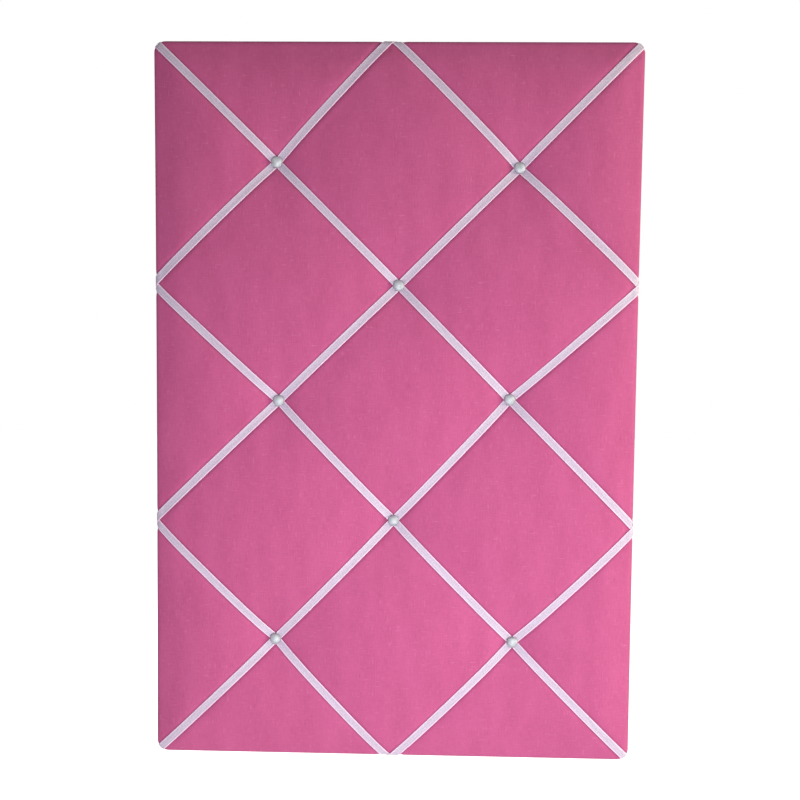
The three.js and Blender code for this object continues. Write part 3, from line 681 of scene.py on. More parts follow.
# Points of the front's rim in order, with the way out of the board there; a fan of ways at a corner
def rimColumns(points, fan):
    around = []
    for k in np.nonzero(onRim)[0]:
        x, _, z = points[k]
        if z < tiny - flatZ and x < flatX - tiny:
            around.append((0, x, k))
        elif x > flatX - tiny and z < flatZ - tiny:
            around.append((1, z, k))
        elif z > flatZ - tiny and x > tiny - flatX:
            around.append((2, -x, k))
        else:
            around.append((3, -z, k))
    ways = []
    for side, _, k in sorted(around):
        x, _, z = points[k]
        atCorner = abs(x) > flatX - tiny and abs(z) > flatZ - tiny
        for f in range(fan + 1) if atCorner else [fan]:
            angle = (side - 1) * math.pi / 2 - (1 - f / fan) * math.pi / 2
            ways.append((k, x, z, math.cos(angle), math.sin(angle), f if atCorner else -1))
    return np.array(ways)


# Rings of points round the rim, stitched to it and to each other; a ring's rows are x, y, z, flat x, flat z
def stitchRings(points, flats, rings):
    points, flats, faces = list(points), list(flats), list(padFaces)
    last = [int(way[0]) for way in rimWays]
    for places in rings:
        ring = []
        for way, (x, y, z, flatAcross, flatUp) in zip(rimWays, places):
            if way[5] > 0 and math.hypot(x - points[ring[-1]][0], z - points[ring[-1]][2]) < tiny:
                ring.append(ring[-1])
                continue
            ring.append(len(points))
            points.append((x, y, z))
            flats.append((flatAcross, flatUp, 0))
        for k in range(len(ring)):
            after = (k + 1) % len(ring)
            corners = [last[after], last[k], ring[k], ring[after]]
            face = [c for n, c in enumerate(corners) if c != corners[n - 1]]
            if len(face) > 2:
                faces.append(face)
        last = ring
    return points, faces, flats, last


def coverRing(length):
    _, x, z, wayX, wayZ, fan = rimWays.T
    flat = np.stack((x + wayX * length, z + wayZ * length), 1)
    out, y = onSection("out", length), onSection("y", length)
    if out >= 0:
        drawnIn = smoothStep((length - section["rollEnd"]) / cover["gatherReach"])
        gathered = cover["gather"] * drawnIn * (out > 0)
        press = edgePress(flat) * (1 - turnedBack(length))
        outs = out + np.where(fan < 0, 0, np.where(fan % 2 == 1, gathered, -gathered))
        outs = outs - press * onSection("normalOut", length)
        ys = y - press * onSection("normalY", length)
        return np.stack((x + wayX * outs, ys, z + wayZ * outs, flat[:, 0], flat[:, 1]), 1)
    atCut = smoothStep(1 - (section["hemEnd"] - length) / cover["cutReach"])
    wander = sum(share * np.sin(a * x + b * z + start) for share, a, b, start in cover["cutTurns"])
    outs = out + np.where(fan < 0, cover["cutWave"] * atCut * wander, 0)
    planX, planZ = x * (flatX + outs) / flatX, z * (flatZ + outs) / flatZ
    fromFold = flatX + outs - np.abs(planX)
    lip = (1 - np.exp(-fromFold / cover["lipEdge"])) * np.exp(-fromFold / cover["lipReach"])
    ys = y + np.where((np.abs(wayZ) > 0.5) & (fan < 0), cover["foldLip"] * lip, 0)
    return np.stack((planX, ys, planZ, flat[:, 0], flat[:, 1]), 1)


def coverSteps():
    folded = section["turnEnd"] + skin["rollWidth"] - skin["turnRadius"]
    onBack = np.linspace(folded, section["hemEnd"], cover["backRings"] + 1)
    return np.concatenate([sectionSteps(cover["rings"]), [(section["turnEnd"] + folded) / 2], onBack])


# Painted shade: darker where a ribbon presses the cloth in and where the cloth bends over the edge
def paintedClothShade(flatPlan):
    pastFlat = np.abs(flatPlan) - flatHalf
    pastFlat = np.where((pastFlat > 0).all(1), np.hypot(*pastFlat.T), pastFlat.max(1))
    fromMiddle = np.concatenate((ribbonNear, fromLead(flatPlan[len(padPoints) :])))
    besideRibbon = fromMiddle - lattice["ribbonWidth"] / 2
    shadeBesideRibbon = 1 - smoothStep(besideRibbon / cover["shadeBesideRibbonWidth"])
    shadeBesideRibbon *= 1 - smoothStep((pastFlat - section["sideEnd"]) / cover["shadeBesideRibbonFade"])
    onBend = smoothStep((pastFlat - cover["bendFrom"]) / cover["bendReach"])
    shadeOverEdge = onBend * (1 - smoothStep((pastFlat - cover["bendEnd"]) / cover["bendReach"]))
    return np.maximum(shadeBesideRibbon, cover["edgeShade"] * shadeOverEdge)


rimWays = rimColumns(padPoints, cover["cornerFan"])
flatFront = np.stack((padX, padZ, np.zeros(len(padPoints))), 1)
coverRings = [coverRing(s) for s in coverSteps()]
coverPoints, coverFaces, coverFlat, _ = stitchRings(padPoints, flatFront, coverRings)
coverCloth = newObject("cover_cloth", pulledIn(coverPoints), coverFaces, cotton)
pointLayer(coverCloth, "clothFlat", coverFlat)
# the painted shade, carried as an attribute on the cloth
pointLayer(coverCloth, "paintedShade", paintedClothShade(np.array(coverFlat)[:, :2]))
clothTree = BVHTree.FromPolygons([tuple(p) for p in coverPoints], coverFaces)
thickness = coverCloth.modifiers.new("thickness", "SOLIDIFY")
thickness.thickness = skin["cloth"]
thickness.offset = -1
settle(coverCloth)
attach(coverCloth, "board")
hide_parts("fabric_cover")

wadding = {
    "under": 0.0009,  # below the cloth's outside
    "inner": 0.0063,  # clear of the softboard's edge
    "back": -0.0092,
    "skirtEnd": -0.001,
    "rings": 8,
}


def waddingRing(length, out=None, y=None):
    _, x, z, wayX, wayZ, _ = rimWays.T
    under = wadding["under"] + edgePress(np.stack((x + wayX * length, z + wayZ * length), 1))
    outs = onSection("out", length) - under * onSection("normalOut", length) if out is None else out
    ys = onSection("y", length) - under * onSection("normalY", length) if y is None else y
    return np.stack((x + wayX * outs, ys + 0 * x, z + wayZ * outs, 0 * x, 0 * x), 1)


skirtLength = section["rollEnd"] + wadding["skirtEnd"] - skin["boardFront"]
waddingRings = [waddingRing(s) for s in sectionSteps((wadding["rings"],))]
waddingRings.append(waddingRing(skirtLength, y=wadding["skirtEnd"]))
for y in (wadding["skirtEnd"], wadding["back"]):
    waddingRings.append(waddingRing(skirtLength, out=wadding["inner"], y=y))
waddingFront = padPoints + np.array((0, wadding["under"], 0))
points, faces, _, lastRing = stitchRings(waddingFront, flatFront, waddingRings)
points = np.array(points)
outside = points[:, 1] < wadding["skirtEnd"] - tiny
outside[lastRing] = False
points[outside] = pulledIn(points[outside])
faces.append(lastRing[::-1])
pad3d = newObject("wadding_pad", points, faces, polyester)
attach(pad3d, "board")
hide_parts("wadding")
print("wadding made")

ribbon = {
    "outline": (  # across and height, mm
        (-3.2, 0), (0, 0), (3.2, 0), (3.2, 0.2), (3.0, 0.34), (2.7, 0.36), (2.3, 0.28),
        (0, 0.28), (-2.3, 0.28), (-2.7, 0.36), (-3.0, 0.34), (-3.2, 0.2),
    ),
    "thick": 0.00028,  # in the middle
    "lift": 0.0001,
    "crossing": 0.0004,  # rise over the other ribbon
    "crossingReach": (0.0032, 0.009),
    "edgeCrossing": ((0.001, 0.005), (0.019, 0.006)),  # start and length of the rise and fall past the rim
    "rimTurn": (0.015, 0.013),  # rows turn along the rim: start before it, length
    "tailTurn": (0.003, 0.011),  # and square again on the back: start after the turn, length
    "tailInset": 0.022,  # the tail's end and its staple, from the side
    "stapleInset": 0.015,
    "near": 0.012,  # rows are closer together this near a stud
    "nearStep": 0.0008,
    "frontRows": 36,
    "rimRows": 14,
    "rimGap": 0.001,
    "edgeRows": (14, 11, 7, 17),  # on the roll, the side, the turn and the tail
}
outline = np.array(ribbon["outline"]) * 0.001
nearSteps = np.arange(ribbon["nearStep"], ribbon["near"], ribbon["nearStep"])


def clothY(x, z):
    return clothTree.ray_cast(Vector((x, -0.1, z)), Vector((0, 1, 0)))[0].y


# How far a straight line runs from a start to the outline that is `out` past the flat front
def reachTo(start, along, out):
    way = np.sign(along)
    run = min((flatHalf + out - way * start) / np.abs(along))
    if out > 0 and (np.abs(start + along * run) > flatHalf).all():
        fromCorner = start - way * flatHalf
        b = fromCorner @ along
        run = -b + math.sqrt(max(b * b - fromCorner @ fromCorner + out * out, 0))
    return run


# Plan of a line along a lead, at a length past the rim on the cloth that is folded round the edge
def pastRim(lead, start, length):
    along, outward, out = lead["along"], lead["outward"], onSection("out", length)
    if lead["atCorner"]:
        return start + along * reachTo(start, along, out)
    run = (lead["rimAt"] + length - start @ outward) / lead["steep"]
    return start + along * run - outward * (length - out)


def overRise(distance):
    near, far = ribbon["crossingReach"]
    return ribbon["crossing"] * (1 - smoothStep((distance - near) / (far - near)))


# A row on the front: place(across, height) -> x, y, z, and its length along the ribbon
def frontRow(start, along, run, raised, skew=lambda w: 0):
    across = np.array((-along[1], along[0]))

    def place(w, height):
        at = start + across * w + along * (run + skew(w))
        return at[0], clothY(*at) - raised - height, at[1]

    return place, run


# Rows from the last stud out to the edge, round it and to the tail's end
def leadRows(lead, isOver):
    stud, along, across, steep = lead["stud"], lead["along"], lead["across"], lead["steep"]

    def toRim(w):
        start = stud + across * w
        if lead["atCorner"]:
            return reachTo(start, along, 0)
        return (lead["rimAt"] - start @ lead["outward"]) / steep

    middle = toRim(0)

    def outRow(run):
        before, reach = ribbon["rimTurn"]
        turned = smoothStep((run - middle + before) / reach)
        raised = ribbon["lift"] + isOver * overRise(run)
        return frontRow(stud, along, run, raised, lambda w: turned * (toRim(w) - middle))

    def edgeRow(past):
        after, reach = ribbon["tailTurn"]
        square = smoothStep((past - section["turnEnd"] - after) / reach)
        raised = ribbon["lift"] - pad["press"] * (1 - turnedBack(past))
        if isOver and not lead["atCorner"]:
            rise, fall = [smoothStep((past - start) / size) for start, size in ribbon["edgeCrossing"]]
            raised += ribbon["crossing"] * rise * (1 - fall)

        def place(w, height):
            start = stud + across * w
            if lead["atCorner"]:
                out = onSection("out", past)
                length = past + square * (reachTo(start, along, out) - reachTo(stud, along, out)) * steep / 2
            else:
                length = past - square * (toRim(w) - middle) * steep
            height += raised
            way = along if lead["atCorner"] else lead["outward"]
            at = pastRim(lead, start, length) + way * onSection("normalOut", length) * height
            return at[0], onSection("y", length) + onSection("normalY", length) * height, at[1]

        return place, middle + past / (1 if lead["atCorner"] else steep)

    rimFrom = middle - ribbon["rimTurn"][0]
    onFront = np.concatenate([
        nearSteps,
        np.linspace(ribbon["near"], rimFrom, ribbon["frontRows"])[1:],
        np.linspace(rimFrom + ribbon["rimGap"], middle, ribbon["rimRows"])[:-1],
    ])
    tailEnd = section["turnEnd"] + ribbon["tailInset"] - skin["turnRadius"]
    onEdge = np.append(0, sectionSteps(ribbon["edgeRows"], tailEnd))
    return [outRow(run) for run in onFront] + [edgeRow(past) for past in onEdge]


def betweenRows(a, b, isOver):
    size = np.linalg.norm(b - a)
    between = np.linspace(ribbon["near"], size - ribbon["near"], ribbon["frontRows"])
    made = []
    for run in np.concatenate([nearSteps, between, size - nearSteps[::-1]]):
        raised = ribbon["lift"] + isOver * overRise(min(run, size - run))
        made.append(frontRow(a, (b - a) / size, run, raised))
    return made, size


def makeRibbon(name, run):
    isOver = name.startswith("over")
    first, last = [leadRows(lead, isOver) for lead in ribbonLeads[name]]
    strip = [(place, -1, -along) for place, along in first[::-1]]  # a first lead runs the other way
    done = 0
    for a, b in zip(run[1:-2], run[2:-1]):
        between, size = betweenRows(crossing[a], crossing[b], isOver)
        strip += [(place, 1, done + along) for place, along in between]
        done += size
    strip += [(place, 1, done + along) for place, along in last]
    points = [place(side * w, h) for place, side, _ in strip for w, h in outline]
    flats = [(w, along, 0) for _, _, along in strip for w, _ in outline]
    count = len(outline)
    caps = [list(range(count))[::-1], list(range(len(points) - count, len(points)))]
    faces = caps + gridFaces(len(strip), count, closed=True)
    made = newObject(name.replace("ribbon", "ribbon_strip"), pulledIn(points), faces, satin)
    pointLayer(made, "ribbonFlat", flats)
    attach(made, "board")
    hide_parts(name)


for name, run in ribbonRuns.items():
    makeRibbon(name, run)
print("ribbons made,", len(ribbonRuns))


# A Geometry Nodes tree with named inputs; returns a function that adds to it, and its inputs by name
def nodeTree(name, inputs):
    tree = bpy.data.node_groups.new(name, "GeometryNodeTree")
    tree.interface.new_socket("Geometry", in_out="INPUT", socket_type="NodeSocketGeometry")
    for title, value in inputs.items():
        isMaterial = isinstance(value, bpy.types.Material)
        kind = "Material" if isMaterial else "Int" if isinstance(value, int) else "Float"
        tree.interface.new_socket(title, in_out="INPUT", socket_type="NodeSocket" + kind)
    tree.interface.new_socket("Geometry", in_out="OUTPUT", socket_type="NodeSocketGeometry")
    add = partial(addNode, tree)
    return add, add("NodeGroupInput").outputs


# Ends a tree: the shape on every point, turned about Y as the point says or as given, as real faces
def finishTree(add, given, shape, turned=None):
    if turned is None:
        turn = add("GeometryNodeInputNamedAttribute", {"Name": "turn"}, data_type="FLOAT")
        turned = add("ShaderNodeCombineXYZ", {1: turn})
    spots = {"Points": given["Geometry"], "Instance": shape, "Rotation": turned}
    placed = add("GeometryNodeInstanceOnPoints", spots)
    real = add("GeometryNodeRealizeInstances", {"Geometry": placed})
    coated = add("GeometryNodeSetMaterial", {"Geometry": real, "Material": given["Material"]})
    return add("NodeGroupOutput", {"Geometry": coated}).id_data  # the tree


# Points that carry the tree's result, baked to a plain mesh
def growOnPoints(name, places, turns, tree, inputs):
    made = newObject(name, places, [])
    pointLayer(made, "turn", turns)
    grown = made.modifiers.new(tree.name, "NODES")
    grown.node_group = tree
    for socket in tree.interface.items_tree:
        if socket.in_out == "INPUT" and socket.name in inputs:
            grown[socket.identifier] = inputs[socket.name]
    return settle(made)


# A pin along Z below its top: a cone, widened to a straight shank with a short point
def pinShape(add, radius, length, top):
    tip, pointShare = 0.0001, 0.2
    sizes = {"Vertices": 12, "Side Segments": 5, "Radius Top": radius, "Radius Bottom": tip, "Depth": length}
    cone = add("GeometryNodeMeshCone", sizes)
    at = add("GeometryNodeInputPosition")
    up = add("ShaderNodeSeparateXYZ", {0: at}).outputs[2]
    share = add("ShaderNodeMath", {0: up, 1: length}, operation="DIVIDE")
    taper = {"Value": share, "To Min": tip, "To Max": radius}
    plain = add("ShaderNodeMapRange", taper)
    shaped = add("ShaderNodeMapRange", {**taper, "From Max": pointShare})
    stretch = add("ShaderNodeMath", {0: shaped, 1: plain}, operation="DIVIDE")
    thick = add("ShaderNodeCombineXYZ", {0: stretch, 1: stretch, 2: 1.0})
    wide = add("ShaderNodeVectorMath", {0: at, 1: thick}, operation="MULTIPLY")
    shank = add("GeometryNodeSetPosition", {"Geometry": cone, "Position": wide})
    low = add("ShaderNodeMath", {0: top, 1: length}, operation="SUBTRACT")
    down = add("ShaderNodeCombineXYZ", {2: low})
    return add("GeometryNodeTransform", {"Geometry": shank, "Translation": down})


# Domed upholstery studs: a thin pressed cap, open behind, on a nail
stud = {
    "Radius": 0.00475,
    "Dome": 0.0032,
    "Wall": 0.0006,
    "Nail Radius": 0.0008,
    "Nail Length": 0.0124,
    "Tilt": 0.05,
    "Seed": 4,
    "Material": nickel,
}
roundHead = {"Segments": 40, "Rings": 24, "Radius": 1.0}


def studTree():
    add, given = nodeTree("stud", stud)
    ball = add("GeometryNodeMeshUVSphere", roundHead)
    at = add("GeometryNodeInputPosition")
    ballX, ballY, ballZ = add("ShaderNodeSeparateXYZ", {0: at}).outputs
    # the lower half of a ball is folded up inside the upper half as the inner wall
    inside = add("ShaderNodeMath", {0: ballZ, 1: -1e-4}, operation="LESS_THAN")
    thinner = add("ShaderNodeMath", {0: inside, 1: given["Wall"]}, operation="MULTIPLY")
    radius = add("ShaderNodeMath", {0: given["Radius"], 1: thinner}, operation="SUBTRACT")
    dome = add("ShaderNodeMath", {0: given["Dome"], 1: thinner}, operation="SUBTRACT")
    up = add("ShaderNodeMath", {0: ballZ}, operation="ABSOLUTE")
    x = add("ShaderNodeMath", {0: ballX, 1: radius}, operation="MULTIPLY")
    y = add("ShaderNodeMath", {0: ballY, 1: radius}, operation="MULTIPLY")
    z = add("ShaderNodeMath", {0: up, 1: dome}, operation="MULTIPLY")
    moved = add("ShaderNodeCombineXYZ", {0: x, 1: y, 2: z})
    cap = add("GeometryNodeSetPosition", {"Geometry": ball, "Position": moved})
    top = add("ShaderNodeMath", {0: given["Dome"], 1: given["Wall"]}, operation="SUBTRACT")
    nail = pinShape(add, given["Nail Radius"], given["Nail Length"], top)
    both = add("GeometryNodeJoinGeometry", {0: [cap, nail]})
    smooth = add("GeometryNodeSetShadeSmooth", {"Geometry": both})
    front = add("GeometryNodeTransform", {"Geometry": smooth, "Rotation": (math.pi / 2, 0, 0)})
    # hammered in by hand, so no two sit quite square
    least = add("ShaderNodeMath", {0: given["Tilt"], 1: -1.0}, operation="MULTIPLY")
    low = add("ShaderNodeCombineXYZ", {0: least, 2: least})
    high = add("ShaderNodeCombineXYZ", {0: given["Tilt"], 2: given["Tilt"]})
    limits = {0: low, 1: high, "Seed": given["Seed"]}
    tilt = add("FunctionNodeRandomValue", limits, data_type="FLOAT_VECTOR")
    return finishTree(add, given, front, tilt)


studPlaces = [(x, low.y + stud["Dome"], z) for (x, z), (low, _) in zip(studPlan, studBoxes)]
studCaps = growOnPoints("stud_caps", studPlaces, [0] * len(studPlaces), studTree(), stud)
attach(studCaps, "board")
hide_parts(*studNames)
print("studs made,", len(studPlaces))

# Staples: flat wire bent to a U, legs in the softboard
staple = {
    "Half Width": 0.00465,
    "Leg": 0.0085,
    "Wire Thickness": 0.0007,
    "Wire Width": 0.0012,
    "Wire Corner": 0.00018,
    "Bend": 0.0009,
    "Material": wire,
}


def stapleTree():
    add, given = nodeTree("staple", staple)
    line = add("GeometryNodeMeshLine", {"Count": 4})
    number = add("GeometryNodeInputIndex")
    middle = add("ShaderNodeMath", {0: number, 1: 1.5}, operation="SUBTRACT")
    side = add("ShaderNodeMath", {0: middle}, operation="SIGN")
    x = add("ShaderNodeMath", {0: side, 1: given["Half Width"]}, operation="MULTIPLY")
    away = add("ShaderNodeMath", {0: middle}, operation="ABSOLUTE")
    isTip = add("ShaderNodeMath", {0: away, 1: 1.0}, operation="GREATER_THAN")
    depth = add("ShaderNodeMath", {0: isTip, 1: given["Leg"]}, operation="MULTIPLY")
    y = add("ShaderNodeMath", {0: depth, 1: -1.0}, operation="MULTIPLY")
    corner = add("ShaderNodeCombineXYZ", {0: x, 1: y})
    bent = add("GeometryNodeSetPosition", {"Geometry": line, "Position": corner})
    path = add("GeometryNodeMeshToCurve", {0: bent})
    bend = {"Curve": path, "Radius": given["Bend"], "Count": 5}
    crown = add("GeometryNodeFilletCurve", bend, mode="POLY")
    sizes = {"Width": given["Wire Width"], "Height": given["Wire Thickness"]}
    flat = add("GeometryNodeCurvePrimitiveQuadrilateral", sizes)
    ease = {"Curve": flat, "Radius": given["Wire Corner"], "Count": 2}
    eased = add("GeometryNodeFilletCurve", ease, mode="POLY")
    sweep = {"Curve": crown, "Profile Curve": eased, "Fill Caps": True}
    return finishTree(add, given, add("GeometryNodeCurveToMesh", sweep))


# A staple stands in the middle of a ribbon's tail, and where its solid is on the hem
tailStaple = section["turnEnd"] + ribbon["stapleInset"] - skin["turnRadius"]
tailMiddles = [pastRim(lead, lead["stud"], tailStaple) for lead in edgeLeads]
stapleNames = [name for name in nodes if "staple" in name]
staplePlaces, stapleTurns = [], []
for name in stapleNames:
    spots = np.array([v.co[:] for v in bpy.data.objects[name].data.vertices])[:, [0, 2]]
    spread = np.linalg.eigh(np.cov((spots - spots.mean(0)).T))[1][:, -1]
    at, crown = boxMiddle(*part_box(name)), skin["hemY"] + staple["Wire Thickness"] / 2
    if name.startswith("ribbon"):
        at = tailMiddles[int(name.split("_")[-1]) - 1]
        crown += ribbon["lift"] + ribbon["thick"]
    staplePlaces.append((at[0], crown, at[1]))
    stapleTurns.append(-math.atan2(spread[1], spread[0]))
staples = growOnPoints("staple_wires", staplePlaces, stapleTurns, stapleTree(), staple)
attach(staples, "board")
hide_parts(*stapleNames)
print("staples made,", len(staplePlaces))

# Hangers: a strap of sheet steel folded round the bar of a D-shaped wire ring
hanger = {
    "wire": 0.0012,
    "wireSides": 16,
    "halfWidth": 0.0087,  # of the ring, on the wire's centre line
    "bend": 0.0025,
    "shoulder": 0.005,
    "reach": 0.0154,
    "lean": math.radians(2.98),  # its top rests on the back of the board
    "sheet": 0.0008,
    "loop": 0.0019,  # the sheet's middle, from the bar's centre
    "outerLayer": 1.52,  # middle of the outer layer, in sheets from the back
    "layerTop": -0.006,  # the flat layers end here, below the bar
    # way out of the loop, then heights on the outer layer
    "closing": ((-0.00104, -0.0006), -0.0034, -0.0048),
    "strapHalf": 0.0057,
    "strapLength": 0.0256,
    "strapCorner": 0.0028,
    "strapColumns": 9,
    "easedEdge": 0.00015,
}


def arc(centre, radii, start, end, count):
    angle = np.radians(np.linspace(start, end, count))
    return np.stack((centre[0] + radii[0] * np.cos(angle), centre[1] + radii[1] * np.sin(angle)), 1)


def makeRing(hand, body, pivot):
    wide, bend, shoulder = hanger["halfWidth"], hanger["bend"], hanger["shoulder"]
    path = np.concatenate((
        arc((wide - bend, bend), (bend, bend), -90, 0, 10),
        arc((0, shoulder), (wide, hanger["reach"] - shoulder), 0, 180, 49),
        arc((bend - wide, bend), (bend, bend), 180, 270, 10),
    ))
    along = np.roll(path, -1, 0) - np.roll(path, 1, 0)
    along /= np.linalg.norm(along, axis=1)[:, None]
    sides, count = hanger["wireSides"], len(path)
    turn = np.arange(sides) * 2 * math.pi / sides
    out, y = hanger["wire"] * np.cos(turn), np.tile(hanger["wire"] * np.sin(turn), count)
    x = (path[:, :1] + along[:, 1:] * out).ravel()
    z = (path[:, 1:] - along[:, :1] * out).ravel()
    cos, sin = math.cos(hanger["lean"]), math.sin(hanger["lean"])
    points = np.stack((x, y * cos - z * sin, y * sin + z * cos), 1) + pivot
    faces = gridFaces(count, sides, closed=True, looped=True)
    made = newObject("hanger_wire_ring_" + hand, points, faces, zinc)
    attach(made, body)
    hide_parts("hanger_ring_" + hand)


def makeStrap(hand, pivot):
    sheet, low, corner = hanger["sheet"], -hanger["strapLength"], hanger["strapCorner"]
    down = np.append(low + corner * (1 - np.cos(np.linspace(0, math.pi / 2, 8))), hanger["layerTop"])
    loop = arc((pivot[1], 0), (hanger["loop"], hanger["loop"]), 180, -60, 29)
    outer = hanger["outerLayer"] * sheet
    # from the loop onto the inner layer, as a cubic curve
    away, high, flat = hanger["closing"]
    knots = np.array([loop[-1], loop[-1] + away, (outer, high), (outer, flat)])
    t = np.linspace(0, 1, 10)[1:, None]
    closing = sum(w * (1 - t) ** (3 - n) * t**n * knots[n] for n, w in enumerate((1, 3, 3, 1)))
    inner = np.stack((np.full(len(down), sheet / 2), down), 1)
    path = np.concatenate((inner, loop, closing, np.stack((np.full(len(down), outer), down[::-1]), 1)))
    fromEnd = np.clip(1 - (path[:, 1] - low) / corner, 0, 1)
    half = hanger["strapHalf"] - corner * (1 - np.sqrt(1 - fromEnd**2))
    steps = np.linspace(-1, 1, hanger["strapColumns"])
    points = [(pivot[0] + h * c, y, pivot[2] + z) for (y, z), h in zip(path, half) for c in steps]
    made = newObject("hanger_folded_strap_" + hand, points, gridFaces(len(path), len(steps)), zinc)
    thick = made.modifiers.new("thick", "SOLIDIFY")
    thick.thickness = sheet
    thick.offset = 0
    eased = made.modifiers.new("eased", "BEVEL")
    eased.width = hanger["easedEdge"]
    eased.segments = 2
    eased.limit_method = "ANGLE"
    eased.angle_limit = math.radians(50)
    settle(made)
    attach(made, "board")
    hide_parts("hanger_strap_" + hand)


for joint in frame["joints"]:
    hand = joint["child"].split("_")[0]
    makeRing(hand, joint["child"], np.array(joint["pos_m"]))
    makeStrap(hand, joint["pos_m"])

# Pan-head screws with a cross recess
screw = {
    "Head Radius": 0.0032,
    "Head Height": 0.0019,
    "Recess Length": 0.0036,
    "Recess Width": 0.0009,
    "Recess Depth": 0.0009,
    "Shank Radius": 0.0013,
    "Shank Length": 0.0094,
    "Crisp Angle": 0.7,
    "Material": zinc,
}
screwTurns = (0.4, 1.1)


def screwTree():
    add, given = nodeTree("screw", screw)
    ball = add("GeometryNodeMeshUVSphere", roundHead)
    at = add("GeometryNodeInputPosition")
    x, y, z = add("ShaderNodeSeparateXYZ", {0: at}).outputs
    level = add("ShaderNodeCombineXYZ", {0: x, 1: y})
    out = add("ShaderNodeVectorMath", {0: level}, operation="LENGTH")
    up = add("ShaderNodeMath", {0: z}, operation="ABSOLUTE")
    # squarer than a ball, and flat below
    outCubed = add("ShaderNodeMath", {0: out, 1: 3.0}, operation="POWER")
    upCubed = add("ShaderNodeMath", {0: up, 1: 3.0}, operation="POWER")
    both = add("ShaderNodeMath", {0: outCubed, 1: upCubed}, operation="ADD")
    grown = add("ShaderNodeMath", {0: both, 1: -1 / 3}, operation="POWER")
    top = add("ShaderNodeMath", {0: z, 1: 0.0}, operation="MAXIMUM")
    shape = add("ShaderNodeCombineXYZ", {0: x, 1: y, 2: top})
    wider = add("ShaderNodeVectorMath", {0: shape, "Scale": grown}, operation="SCALE")
    radius, tall = given["Head Radius"], given["Head Height"]
    size = add("ShaderNodeCombineXYZ", {0: radius, 1: radius, 2: tall})
    sized = add("ShaderNodeVectorMath", {0: wider, 1: size}, operation="MULTIPLY")
    head = add("GeometryNodeSetPosition", {"Geometry": ball, "Position": sized})
    deep = add("ShaderNodeMath", {0: given["Recess Depth"], 1: 2.0}, operation="MULTIPLY")
    slot = {0: given["Recess Length"], 1: given["Recess Width"], 2: deep}
    bar = add("GeometryNodeMeshCube", {"Size": add("ShaderNodeCombineXYZ", slot)})
    lifted = {"Geometry": bar, "Translation": add("ShaderNodeCombineXYZ", {2: tall})}
    turns = ((0, 0, 0), (0, 0, math.pi / 2))
    bars = [add("GeometryNodeTransform", {**lifted, "Rotation": turn}) for turn in turns]
    crossed = {"Mesh 1": head, "Mesh 2": bars}
    recess = add("GeometryNodeMeshBoolean", crossed, operation="DIFFERENCE", solver="EXACT")
    shank = pinShape(add, given["Shank Radius"], given["Shank Length"], 0.0)
    joined = add("GeometryNodeJoinGeometry", {0: [recess, shank]})
    smooth = add("GeometryNodeSetShadeSmooth", {"Geometry": joined})
    angle = add("GeometryNodeInputMeshEdgeAngle")
    steep = add("ShaderNodeMath", {0: angle, 1: given["Crisp Angle"]}, operation="GREATER_THAN")
    edges = {"Geometry": smooth, "Selection": steep, "Shade Smooth": False}
    crisp = add("GeometryNodeSetShadeSmooth", edges, domain="EDGE")
    back = add("GeometryNodeTransform", {"Geometry": crisp, "Rotation": (-math.pi / 2, 0, 0)})
    return finishTree(add, given, back)


screwNames = [name for name in nodes if name.startswith("hanger_screw")]
screwPlaces = []
for low, high in map(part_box, screwNames):
    x, z = boxMiddle(low, high)
    screwPlaces.append((x, high.y - screw["Head Height"], z))
screws = growOnPoints("hanger_screws", screwPlaces, screwTurns, screwTree(), screw)
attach(screws, "board")
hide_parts(*screwNames)
print("hangers made,", len(screwNames))

# The board itself is the solid from the frame
panel = bpy.data.objects["softboard"].data
panel.materials.clear()
panel.materials.append(softboard)

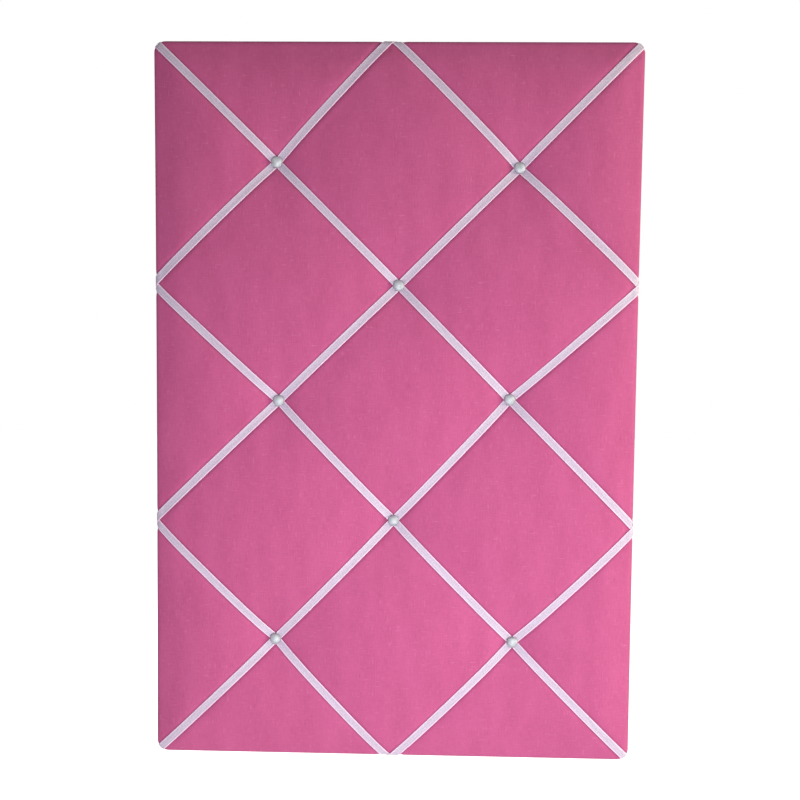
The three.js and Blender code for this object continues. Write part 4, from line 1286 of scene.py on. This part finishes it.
# The main lamp is low in front, one on the right rakes across the front, one lights the back
lamps = {
    "key": {"place": (0.1, -0.71, -0.225), "size": 0.3, "share": 0.747, "colour": "#F1F1FF"},
    "side": {"place": (1.6, -0.376, 0.24), "size": 0.6, "share": 0.16, "colour": "#FFFCDF"},
    "rear": {"place": (-0.7, 1.3, 0.9), "size": 1.0, "share": 0.6, "colour": "#FFFFFF"},
}
studio = {
    "ambient": 0.14,
    "floorZ": -0.62,
    "floorHalf": 6.0,
    "floorPaint": ("#E8E8E8", "#F0F0F0"),
    "floorGlow": 0.9,  # as the camera sees it
    "speck": 0.025,
    "camera": (0.025853, -0.845146, 0.057343),
    "cameraTurn": (86.4172, -0.5863, 1.5141),
    "lens": 45,
    "sensor": 36,
}
for name, given in lamps.items():
    lampData = bpy.data.lights.new(name, "AREA")
    lamp = bpy.data.objects.new(name, lampData)
    scene.collection.objects.link(lamp)
    towards = -Vector(given["place"])
    lamp.location = given["place"]
    lamp.rotation_euler = towards.to_track_quat("-Z", "Y").to_euler()
    lampData.size = given["size"]
    lampData.color = linear(given["colour"])[:3]
    lampData.energy = math.pi**2 * towards.length**3 * given["share"] / abs(towards.y)
    lamp.visible_camera = False


# 1 where the camera sees it, straight, mirrored or through glass
def seenRays(add):
    ray = add("ShaderNodeLightPath").outputs
    seen = {0: ray["Is Camera Ray"], 1: ray["Is Glossy Ray"]}
    either = add("ShaderNodeMath", seen, operation="MAXIMUM")
    return add("ShaderNodeMath", {0: either, 1: ray["Is Transmission Ray"]}, operation="MAXIMUM")


world = bpy.data.worlds.new("studio")
scene.world = world
world.use_nodes = True
world.node_tree.nodes.clear()
add = partial(addNode, world.node_tree)
seen = {"Value": seenRays(add), "To Min": studio["ambient"], "To Max": 1.0}
strength = add("ShaderNodeMapRange", seen)
even = add("ShaderNodeBackground", {"Color": (1, 1, 1, 1), "Strength": strength})
add("ShaderNodeOutputWorld", {"Surface": even})

# Matt white floor paint, faintly speckled
paint, add = newMaterial("floor_white_paint")
place = add("ShaderNodeTexCoord").outputs["Object"]
speck = add("ShaderNodeTexNoise", {"Vector": place, "Scale": 1 / studio["speck"]})
low, high = [linear(code) for code in studio["floorPaint"]]
glow = {0: seenRays(add), 1: studio["floorGlow"]}
shader = add("ShaderNodeBsdfPrincipled", {
    "Base Color": add("ShaderNodeMix", {"Factor": speck, "A": low, "B": high}, data_type="RGBA"),
    "Roughness": 0.9,
    "Emission Color": (1, 1, 1, 1),
    "Emission Strength": add("ShaderNodeMath", glow, operation="MULTIPLY"),
})
add("ShaderNodeOutputMaterial", {"Surface": shader})
half = studio["floorHalf"]
corners = [(x, y, studio["floorZ"]) for x, y in ((-half, -half), (half, -half), (half, half), (-half, half))]
floor = newObject("floor", corners, [(0, 1, 2, 3)], paint)

cameraData = bpy.data.cameras.new("camera")
camera = bpy.data.objects.new("camera", cameraData)
scene.collection.objects.link(camera)
scene.camera = camera
camera.location = studio["camera"]
camera.rotation_euler = [math.radians(a) for a in studio["cameraTurn"]]
cameraData.lens = studio["lens"]
cameraData.sensor_width = studio["sensor"]
print("light and camera set")
